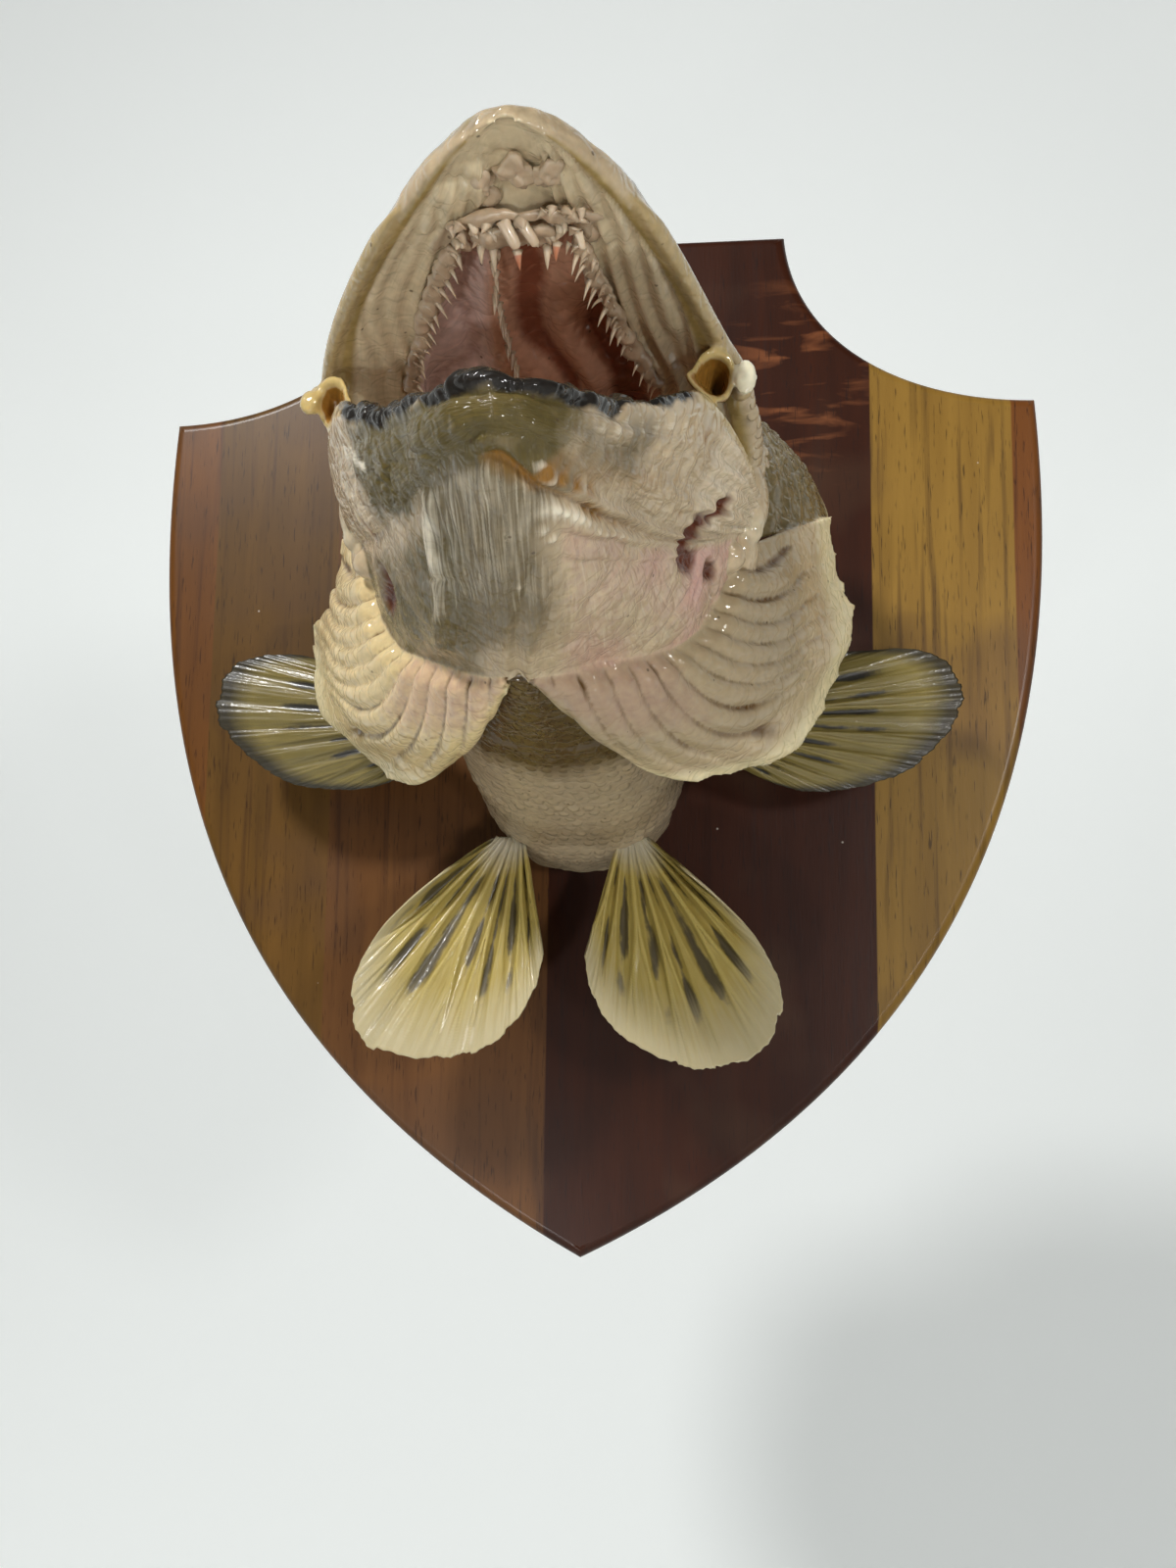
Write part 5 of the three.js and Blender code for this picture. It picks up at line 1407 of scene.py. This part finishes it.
def tooth_band(side):
    outs = np.linspace(204, 148, 150)
    path = swung(np.stack([side * (station(tooth_row, outs) + 0.4), outs,
                           station(palate_line, outs) - 1.9], 1))
    parts = [gum_bar(path, 2.0, 1.3, 3.0 + side)]
    for k in range(band_fangs):
        t = k / (band_fangs - 1)
        at = path[int(2 + t * 145)]
        row = k % 3 - 1
        root = at + [row * 1.3 * mix(1, 0.55, t), rng.uniform(-0.6, 0.6), -0.8]
        long_tooth = mix(3.2, 2.0, t) * rng.uniform(0.35, 1.2) * (1.2 if row == -side else 0.55)
        long_tooth *= 1.0 if side > 0 else 0.7
        tip = root + [-side * rng.uniform(0.5, 2.2), -rng.uniform(0.8, 2.4), -long_tooth]
        parts.append(fang(root, tip, mix(0.6, 0.4, t) * rng.uniform(0.7, 1.2), [0, 0.5, 0.1],
                          rng.uniform(0.5, 1)))
    return parts


# %% Front patch of the palate
def front_patch():
    parts = []
    across = np.linspace(-13, 14, 70)
    cross = swung(np.stack([across, 212.5 - 0.018 * across**2, np.full(70, 64.6)], 1))
    parts.append(gum_bar(cross, 1.1, 0.8, 5.0))
    pad = swung(np.stack([np.linspace(-8.5, 8.5, 60), np.full(60, 207.0), np.full(60, 63.6)], 1))
    parts.append(gum_bar(pad, 3.0, 1.4, 8.0))
    for k in range(26):
        spot = palate_spot(rng.uniform(-12, 13), rng.uniform(203, 216), 3.6)
        lean_to = [rng.uniform(-1.6, 1.6), rng.uniform(-1.6, 0.8), -rng.uniform(0.8, 2.0)]
        parts.append(fang(spot, spot + lean_to, rng.uniform(0.6, 1.15), [0.2, 0.2, 0],
                          rng.uniform(0.2, 0.8)))
    for x, o, long_tooth, lean in ((-6.5, 206, 2.4, -0.3), (-4.2, 205, 3.6, 0.1), (0.4, 204, 2.6, 0.2),
                                   (6.2, 205, 3.4, -0.3), (8.0, 206, 2.4, -0.5)):
        root = palate_spot(x, o, 4.2)
        parts.append(fang(root, root + [lean, -2.4, -long_tooth], 0.85, [0, 0.6, 0],
                          2 if x in (0.4, 8.0) else 1))
    # two broad worn fangs lying crosswise over the patch
    for x, turned, size, deep in ((-2.2, 2.4, 1.25, 4.0), (1.0, 2.8, 1.1, 3.6)):
        root = palate_spot(x, 212, 3.4)
        parts.append(peg(root, root + [turned, -3.0, -deep], size, 0.45))
    # stumps of broken fangs, lying every way in the gum
    for x, o, turned, size in ((-8.5, 212, 1.2, 0.9), (9, 211, -0.8, 1.0), (-9.8, 208, -0.6, 0.8),
                               (6.5, 209, 1.0, 0.9),
                               (12, 206, 0.8, 0.8)):
        root = palate_spot(x, o, 2.4)
        parts.append(peg(root, root + [turned, -1.6, -2.6], size, 0.7))
    for x, o, radius in ((-6.2, 217, 3.6), (6.4, 219, 3.4), (0.4, 220, 3.6), (-9.5, 207, 3.6),
                         (11.5, 208, 3.8),
                         (13.5, 202, 2.8), (-12, 202, 2.8)):
        parts.append(lump(palate_spot(x, o, 0.2), radius, x))
    # low beads with tiny teeth down the middle of the palate
    for k in range(beads):
        t = k / (beads - 1)
        root = palate_spot(mix(-5.0, -4.0, t) + rng.uniform(-0.6, 0.6), mix(196, 152, t), -2.6)
        tip = root + [rng.uniform(-0.6, 0.6), -1.2, -mix(3.4, 5.2, t) * rng.uniform(0.6, 1.1)]
        parts.append(fang(root, tip, 0.6 * rng.uniform(0.7, 1.3), [0, 0.3, 0], 0.5))
    return parts


# %% [markdown]
# Fangs are ivory, almost clear at the tip and pink where they leave the gum.  The gum is
# shrunken, greyish pink and varnished.

# %% Material: ivory and gum
def ivory_and_gum():
    material, tree, shader = new_material("ivory_and_gum")
    place = add(tree, "ShaderNodeTexCoord").outputs["Object"]
    blotch = noise(tree, place, per_mm(2), 3.0)
    gum = mixed(tree, blotch, hex_colour("#CDB898"), hex_colour("#A98E74"))
    colour = wash(tree, gum, "#D8C3A4", layer_value(tree, "tooth"), blotch, 0.3)
    fresh = ramp(tree, layer_value(tree, "tooth"), 1.1, 1.7)
    colour = wash(tree, colour, "#CF8A66", fresh)
    bumps = noise(tree, place, per_mm(1.1), 2.0)
    relief = bumped(tree, bumps, 0.35, 0.3)
    connect(tree, shader, Base_Color=colour, Roughness=0.35, IOR=1.54, Normal=relief, Coat_Weight=0.7,
            Coat_Roughness=0.08, Subsurface_Weight=0.2, Subsurface_Radius=(1.0, 0.6, 0.4),
            Subsurface_Scale=1.0 * MM)
    return material


ivory = ivory_and_gum()
for word, s in (("left", -1), ("right", 1)):
    band_piece = new_piece("palatine_teeth_" + word, tooth_band(s), ivory, ["palatine_" + word],
                           ["tooth"])
front_piece = new_piece("front_teeth", front_patch(), ivory, ["vomer"], ["tooth"])
print("tooth faces:", len(band_piece.data.polygons), len(front_piece.data.polygons))

# %% [markdown]
# Taxidermists set glass eyes: a clear dome over a painted iris.  The pike's iris is brassy
# with a dark, slightly pointed pupil that looks forward.  The paint is laid by the angle from
# the eye's axis, stored on the points, under a clear coat.

# %% Glass eyes
def eye_part(s):
    axis = eye_axis * [s, 1, 1]
    ahead = np.array([0, 1, 0]) - axis * axis[1]
    ahead /= np.linalg.norm(ahead)
    third = np.cross(axis, ahead)
    theta, phi = globe(0.01, 64, 96)
    dome = 1 + 0.035 * (1 - fade(0.0, 0.75, theta))
    ray = (axis * np.cos(theta)[..., None] + ahead * (np.sin(theta) * np.cos(phi))[..., None]
           + third * (np.sin(theta) * np.sin(phi))[..., None])
    rings = eye_centre * [s, 1, 1] + ray * (dome * (eye_radius - 0.15) / 1.035)[..., None]
    pupil_edge = 0.34 + 0.10 * np.clip(np.cos(phi), 0, 1) ** 3
    return rings_part(rings, theta, theta / pupil_edge)


def eye_glass():
    material, tree, shader = new_material("painted_glass_eye")
    place = add(tree, "ShaderNodeTexCoord").outputs["Object"]
    angle, pupil = layer_value(tree, "angle"), layer_value(tree, "pupil")
    flecks = noise(tree, place, per_mm(1.3), 4.0)
    colour = mixed(tree, flecks, hex_colour("#D9B04A"), hex_colour("#7A5A1C"))
    outer_ring = ramp(tree, angle, 0.72, 0.92)
    colour = wash(tree, colour, "#2B2314", outer_ring, flecks, 0.4)
    black = ramp(tree, pupil, 1.04, 0.98)
    colour = wash(tree, colour, "#050505", black)
    connect(tree, shader, Base_Color=colour, Roughness=0.25, IOR=1.5, Coat_Weight=1.0, Coat_Roughness=0.01)
    return material


glass = eye_glass()
for word, s in (("left", -1), ("right", 1)):
    eye_piece = new_piece("glass_eye_" + word, [eye_part(s)], glass, ["eye_" + word],
                          ["angle", "pupil"])
print("eye faces:", len(eye_piece.data.polygons))

# %% [markdown]
# A fin is a fan of bony rays with thin skin between them.  Each ray leaves the root as one
# thick rod, splits in two half way out and again near the edge.  Here the fan is one sheet
# whose thickness and height follow the rays, so that the rays, the skin between them and
# the ragged edge are all real shape.

# %% Shape of a fin
pectoral_reach = [[-44, 20], [-36, 33], [-28, 44], [-18, 58], [-8, 70], [0, 78], [8, 81], [14, 80],
                  [19, 73], [26, 54],
                  [33, 36]]
pelvic_reach = [[-20, 39], [-8, 55], [4, 65], [14, 70.5], [24, 74.5], [32, 75.5], [40, 70], [46, 62],
                [52, 46], [57, 22]]


def build_fin(side, root, reach, out_axis, cross_axis, base_spread, drift, cup, rays, relief, seed):
    f, s = np.meshgrid(np.linspace(0, 1, 230), np.linspace(0.0, 1, 120), indexing="ij")
    degrees = mix(reach[0][0], reach[-1][0], f)
    g = f * rays + 0.3 * np.sin(5 * f + seed) + 0.14 * np.sin(17 * f + 2 * seed)
    local = np.mod(g, 1) - 0.5
    ray_number = np.floor(g)
    split = 0.235 * fade(0.32, 0.78, s)
    split_again = 0.105 * fade(0.6, 0.95, s)
    off = np.abs(np.abs(np.abs(local) - split) - split_again)
    ridge = np.exp(-(off / mix(0.13, 0.055, fade(0.1, 0.7, s))) ** 2)
    strong = 0.7 + 0.3 * np.sin(2.3 * ray_number + seed)
    jag = 0.009 * np.sin(ray_number * 4.1 + seed) + 0.004 * ridge + 0.004 * np.sin(g * 9 + seed)
    length = station(reach, degrees) * (1 - 0.02 + jag * fade(0.7, 1, s))
    angle = np.radians(degrees)
    out_axis, cross_axis = np.array(out_axis, float), np.array(cross_axis, float)
    grid = (np.array(root, float) + out_axis * (length * s * np.cos(angle))[..., None]
            + cross_axis * (length * s * np.sin(angle) + base_spread * (f - 0.5) * (1 - s))[..., None])
    stand = (drift * s + cup * np.sin(np.pi * f) * s
             + relief * 0.75 * ridge * strong * fade(0.02, 0.12, s) * mix(1, 0.35, fade(0.5, 1, s))
             + relief * 0.9 * np.cos(2 * np.pi * local) * fade(0.05, 0.35, s) * mix(1, 0.4, fade(0.6, 1, s))
             + 0.8 * np.sin(3.1 * f * np.pi + seed) * fade(0.5, 1, s))
    grid[..., 1] += stand
    edge = np.maximum(bump(f, 0.0, 0.025), bump(f, 1.0, 0.02))
    thick = 0.62 + (0.62 * ridge * strong + 0.5 * edge) * mix(1, 0.4, s)
    thick = thick * mix(1, 0.72, fade(0.93, 1, s))
    grid = mirror(grid, side)
    normal_grid = np.cross(np.gradient(grid, axis=0), np.gradient(grid, axis=1))
    normal_grid /= np.maximum(np.linalg.norm(normal_grid, axis=2, keepdims=True), 1e-9)
    half = normal_grid * thick[..., None] / 2
    rings = np.concatenate([grid + half, (grid - half)[:, ::-1]], axis=1)
    layers = [np.maximum(ridge * strong, edge), s, f, np.abs(local) * 2]
    return rings_part(rings, *[np.concatenate([layer, layer[:, ::-1]], axis=1) for layer in layers])


# %% [markdown]
# The fins were dyed by age and varnish.  The pelvic pair is straw yellow with smoky streaks
# between the rays and a cream edge.  The pectoral pair is olive with black streaks.

# %% Material: varnished fin
def fin_skin(name, ray_colour, web_colour, streak_colour, edge_colour, edge_from, streak_from, streak_to,
             streak_strength, coat):
    material, tree, shader = new_material(name)
    place = add(tree, "ShaderNodeTexCoord").outputs["Object"]
    ray, reach, spread, between = [layer_value(tree, k) for k in ("ray", "reach", "spread", "between")]
    blotch = noise(tree, place, per_mm(9), 3.0)
    fine = noise(tree, place, per_mm(1.6), 4.0)
    lines_at = add(tree, "ShaderNodeCombineXYZ", {0: spread, 1: reach})
    lines_scaled = vector(tree, "MULTIPLY", lines_at.outputs[0], (75, 4, 1))
    lines = noise(tree, lines_scaled, 1.0, 3.0)
    colour = mixed(tree, blotch, hex_colour(web_colour), hex_colour(ray_colour))
    rise = ramp(tree, reach, streak_from, streak_from + 0.2, soft=True)
    drop = ramp(tree, reach, streak_to, streak_to - 0.25, soft=True)
    zone = maths(tree, "MULTIPLY", rise, drop)
    gap = ramp(tree, between, 0.25, 0.9, 0, streak_strength)
    half_reach = maths(tree, "MULTIPLY", reach, 0.4)
    fan_place = add(tree, "ShaderNodeCombineXYZ", {0: spread, 1: half_reach}).outputs[0]
    uneven = noise(tree, fan_place, 9.0, 2.0)
    uneven = ramp(tree, uneven, 0.38, 0.6, 0.15)
    gap = maths(tree, "MULTIPLY", gap, uneven)
    streak = maths(tree, "MULTIPLY", zone, gap)
    colour = wash(tree, colour, streak_colour, streak, lines, 1.3)
    colour = wash(tree, colour, streak_colour, streak, fine, 1.6)
    ray_amount = ramp(tree, ray, 0.35, 0.95, 0, 0.85)
    colour = wash(tree, colour, ray_colour, ray_amount, fine, 0.4)
    rim = ramp(tree, reach, edge_from, 0.97, 0, 0.85)
    colour = wash(tree, colour, edge_colour, rim, lines, 0.7)
    root = ramp(tree, reach, 0.22, 0.06, 0, 0.9)
    colour = wash(tree, colour, "#A99F86", root, fine, 0.4)
    # the joints of the rays, fine cross lines about 1 mm apart
    joints = maths(tree, "MULTIPLY", reach, 480.0)
    joint_wave = maths(tree, "SINE", joints)
    ringed = maths(tree, "MULTIPLY", joint_wave, ray)
    relief = bumped(tree, lines, 0.55, 0.4)
    relief = bumped(tree, ringed, 0.18, 0.1, relief)
    varnish = bumped(tree, fine, 0.35, 0.4)
    dry = ramp(tree, fine, 0, 1, 0.4, 0.62)
    connect(tree, shader, Base_Color=colour, Roughness=dry, IOR=1.45, Normal=relief, Coat_Weight=coat,
            Coat_Roughness=0.14, Coat_Normal=varnish, Subsurface_Weight=0.15,
            Subsurface_Radius=(1.0, 0.7, 0.4),
            Subsurface_Scale=1.0 * MM)
    return material


pelvic_skin = fin_skin("varnished_pelvic_fin", "#A99650", "#8E7A38", "#453B20", "#ADA07A", edge_from=0.6,
                       streak_from=0.05, streak_to=0.95, streak_strength=1.05, coat=0.5)
pectoral_skin = fin_skin("varnished_pectoral_fin", "#7C6C34", "#665A2A", "#1B160A", "#2E2714",
                         edge_from=0.82,
                         streak_from=0.0, streak_to=0.85, streak_strength=0.9, coat=0.3)
fin_layers = ["ray", "reach", "spread", "between"]
for word, s in (("left", -1), ("right", 1)):
    pelvic = build_fin(s, [19.5 - 2 * s, 43, -39], pelvic_reach, [0, 0, -1], [1, 0, 0],
                       base_spread=9, drift=15, cup=4, rays=8, relief=1.0, seed=1.0 + s)
    new_piece("pelvic_fin_skin_" + word, [pelvic], pelvic_skin, ["pelvic_fin_" + word],
              fin_layers)
    pectoral = build_fin(s, [39, 53, -4], pectoral_reach, [1, 0, 0], [0, 0, 1],
                         base_spread=12, drift=-8, cup=3, rays=11, relief=0.55, seed=3.0 + s)
    fin_piece = new_piece("pectoral_fin_skin_" + word, [pectoral], pectoral_skin,
                          ["pectoral_fin_" + word], fin_layers)
print("fin faces each:", len(fin_piece.data.polygons))

# %% [markdown]
# The board is a shield sawn from a slab that was glued up from five walnut staves, with a
# rounded front edge.  The right-hand stave still carries the pale sapwood.  It is one outline,
# swept through a row of offsets that make the rounded edge.

# %% Board shape
board_low, board_high = span("board")
board_top, board_tip = board_high[2], board_low[2]
board_thick = board_high[1]
edge_round = 3.6
sapwood_from = 95.2


def bezier(a, b, c, d, count):
    t = np.linspace(0, 1, count, endpoint=False)[:, None]
    a, b, c, d = [np.array(q, float) for q in (a, b, c, d)]
    return a * (1 - t) ** 3 + 3 * b * t * (1 - t) ** 2 + 3 * c * t**2 * (1 - t) + d * t**3


half_outline = np.concatenate([bezier((0, board_top), (22, board_top), (45, board_top),
                                      (67, board_top), 30),
                               bezier((67, board_top), (70, 135), (105, 112), (150, 111), 90),
                               bezier((150, 111), (158, 5), (136, -105), (0, board_tip), 190),
                               [[0, board_tip]]])
shield = np.concatenate([half_outline, half_outline[-2:0:-1] * [-1, 1]])


def inset(outline, by):
    """Outline moved inwards by the same distance all round, with mitred corners."""
    before, after = outline - np.roll(outline, 1, 0), np.roll(outline, -1, 0) - outline
    na, nb = [np.stack([-e[:, 1], e[:, 0]], 1) / np.linalg.norm(e, axis=1, keepdims=True)
              for e in (before, after)]
    mid = na + nb
    mid /= np.linalg.norm(mid, axis=1, keepdims=True)
    moved = outline - mid * (by / np.clip((mid * na).sum(1), 0.45, 1))[:, None]
    for corner in np.flatnonzero((na * nb).sum(1) < 0.6):
        moved[np.linalg.norm(outline - outline[corner], axis=1) < by] = moved[corner]
    return moved


if inset(shield, 1)[:, 1].max() > board_top:
    raise ValueError("the outline turns the wrong way")
profile = [(1.0, 0.0), (0.25, 0.3), (0, 1.2), (0, board_thick - edge_round)]
profile += [(edge_round * (1 - math.cos(a)), board_thick - edge_round * (1 - math.sin(a)) - 0.02)
            for a in np.linspace(0.2, math.pi / 2, 9)]
rings = []
for by, out_at in profile:
    edge = inset(shield, by)
    rings.append(np.stack([edge[:, 0], np.full(len(edge), out_at), edge[:, 1]], 1))
board_part = rings_part(rings)

# %% [markdown]
# Oiled walnut: heartwood from grey-brown to dark red-brown, with long figure lines, short dark
# pores and one patch of curl near the sapwood.  A thin hand-rubbed varnish leaves it satin,
# so the window shows in it only as a soft sheen.

# %% Material: varnished walnut
def walnut():
    material, tree, shader = new_material("varnished_walnut")
    place = add(tree, "ShaderNodeTexCoord").outputs["Object"]
    x = add(tree, "ShaderNodeSeparateXYZ", {0: place}).outputs[0]

    def stretched(wide, tall, detail, distortion=0.0, shift=0.0):
        moved = vector(tree, "ADD", place, (shift, 0, shift))
        scaled = vector(tree, "MULTIPLY", moved, (per_mm(wide), per_mm(60), per_mm(tall)))
        return noise(tree, scaled, 1.0, detail, distortion)

    figure = stretched(9, 120, 4.0, 0.8)
    streaks = stretched(2.6, 70, 3.0, 0.3, 0.31)
    pores = stretched(0.55, 7, 2.0, 0.0, 0.12)
    cloudy = noise(tree, place, per_mm(45), 2.0)
    staves = [(None, "#74491F", "#523010"), (-132.3, "#6A4A1E", "#473010"), (-88, "#6C4724", "#482A12"),
              (-12, "#3E1A07", "#220C03"), (sapwood_from, "#927030", "#6A4C1C"),
              (141.5, "#7A4A20", "#522C0E")]
    colour = None
    for start, light, dark in staves:
        stave = mixed(tree, figure, hex_colour(dark), hex_colour(light))
        if start is None:
            colour = stave
            continue
        past = ramp(tree, x, (start - 0.25) * MM, (start + 0.25) * MM)
        colour = mixed(tree, past, colour, stave)
    line = ramp(tree, streaks, 0.55, 0.75, 0, 0.6)
    colour = wash(tree, colour, "#2C1710", line)
    # the curl: short rippled bands of orange-brown
    curl_from = vector(tree, "SUBTRACT", place, (0.072, 0, 0.118))
    curl_scaled = vector(tree, "MULTIPLY", curl_from, (1 / 0.032, 0, 1 / 0.045))
    curl_far = add(tree, "ShaderNodeVectorMath", {0: curl_scaled}, operation="LENGTH").outputs["Value"]
    curl_zone = ramp(tree, curl_far, 1.0, 0.3)
    not_sap = maths(tree, "LESS_THAN", x, sapwood_from * MM)
    ripple_at = vector(tree, "MULTIPLY", place, (per_mm(22), 0, per_mm(6)))
    ripple = noise(tree, ripple_at, 1.0, 3.0, 0.6)
    ripple = ramp(tree, ripple, 0.52, 0.68, 0, 0.7)
    curl = maths(tree, "MULTIPLY", curl_zone, not_sap)
    curl = maths(tree, "MULTIPLY", curl, ripple)
    colour = wash(tree, colour, "#8A5230", curl)
    dark_patch = ramp(tree, cloudy, 0.52, 0.7, 0, 0.55)
    colour = wash(tree, colour, "#4A3322", dark_patch)
    pore_amount = ramp(tree, pores, 0.62, 0.72, 0, 0.65)
    colour = wash(tree, colour, "#1F100B", pore_amount)
    dust = add(tree, "ShaderNodeTexVoronoi", {"Vector": place, "Scale": per_mm(19)}).outputs["Distance"]
    speck = ramp(tree, dust, 0.022, 0.014, 0, 0.6)
    colour = wash(tree, colour, "#C9BFB2", speck)
    relief = bumped(tree, pores, 0.25, 0.12)
    rubbed = ramp(tree, cloudy, 0, 1, 0.3, 0.46)
    connect(tree, shader, Base_Color=colour, Roughness=rubbed, IOR=1.5, Specular_IOR_Level=0.22,
            Normal=relief,
            Coat_Weight=0.08, Coat_Roughness=0.2)
    return material


board_piece = new_piece("walnut_board", [board_part], walnut(), ["board"])
rounded = [len(poly.vertices) == 4 for poly in board_piece.data.polygons]
board_piece.data.polygons.foreach_set("use_smooth", rounded)
print("board faces:", len(board_piece.data.polygons))

# %% [markdown]
# The head is lit like a museum piece: a window high on the left, a weaker fill from the right
# and a pale room all round.  Two small low lamps put the glints on the varnish under the jaw.
# The camera looks slightly up at the open mouth.

# %% Floor, light and camera
scene = bpy.context.scene
scene.view_settings.view_transform = "Standard"
world = bpy.data.worlds.new("pale_room")
world.use_nodes = True
scene.world = world
world.node_tree.nodes["Background"].inputs["Color"].default_value = hex_colour("#E9EBEA")
world.node_tree.nodes["Background"].inputs["Strength"].default_value = 0.14


def area_light(name, place, aim, size, power):
    light = bpy.data.lights.new(name, "AREA")
    light.shape = "DISK"
    light.size = size
    light.energy = power
    obj = bpy.data.objects.new(name, light)
    obj.location = place
    obj.rotation_euler = (Vector(aim) - Vector(place)).to_track_quat("-Z", "Y").to_euler()
    scene.collection.objects.link(obj)
    return obj


area_light("window", (-0.5, -0.85, 0.75), (0, -0.1, 0), 0.2, 13)
area_light("fill", (0.6, -0.9, 0.1), (0, -0.1, 0), 0.14, 3.5)
area_light("low_window", (-0.2, -0.7, -0.45), (0, -0.15, 0), 0.06, 1.1)
area_light("right_window", (0.35, -0.75, -0.2), (0, -0.15, 0), 0.05, 0.7)


def stage_piece(name, line, colour, low_glow, glow):
    """A wide strip that follows a line of (y, z) places, four metres to either side."""
    mesh = bpy.data.meshes.new(name)
    mesh.from_pydata([(x, y, z) for y, z in line for x in (-4, 4)], [],
                     [(2 * k, 2 * k + 1, 2 * k + 3, 2 * k + 2) for k in range(len(line) - 1)])
    shade_smooth(mesh)
    obj = bpy.data.objects.new(name, mesh)
    scene.collection.objects.link(obj)
    material, tree, shader = new_material(name)
    place = add(tree, "ShaderNodeTexCoord").outputs["Object"]
    tall = add(tree, "ShaderNodeSeparateXYZ", {0: place}).outputs[2]
    rising = ramp(tree, tall, -0.5, 0.4, low_glow, glow)
    connect(tree, shader, Base_Color=hex_colour(colour), Roughness=0.8, Emission_Color=hex_colour(colour),
            Emission_Strength=rising)
    mesh.materials.append(material)


# a pale floor, and behind the board a paper sweep that curves up from it
sweep = [(0.15 + 0.8 * math.sin(a), -0.5 + 0.8 * (1 - math.cos(a))) for a in np.linspace(0, math.pi / 2,
                                                                                         14)]
stage_piece("floor", [(-4.0, -0.5), (0.15, -0.5)], "#CFD1CE", 0.0, 0.0)
stage_piece("sweep", sweep + [(0.95, 3.0)], "#DFE2E0", 0.32, 0.54)

# %% Camera
camera = bpy.data.cameras.new("camera")
camera.sensor_width = 36
camera.lens = 36 * 1209 / 1600
camera.clip_start = 0.01
camera_object = bpy.data.objects.new("camera", camera)
camera_object.location = (0.04154, -0.41483, -0.06270)
right = Vector((0.99472875, 0.10175615, 0.01266532))
ahead = Vector((-0.10253063, 0.98879265, 0.10851988))
up = right.cross(ahead)
camera_object.rotation_euler = Matrix([right, up, -ahead]).transposed().to_euler()
scene.collection.objects.link(camera_object)
scene.camera = camera_object
print("camera at", tuple(camera_object.location))
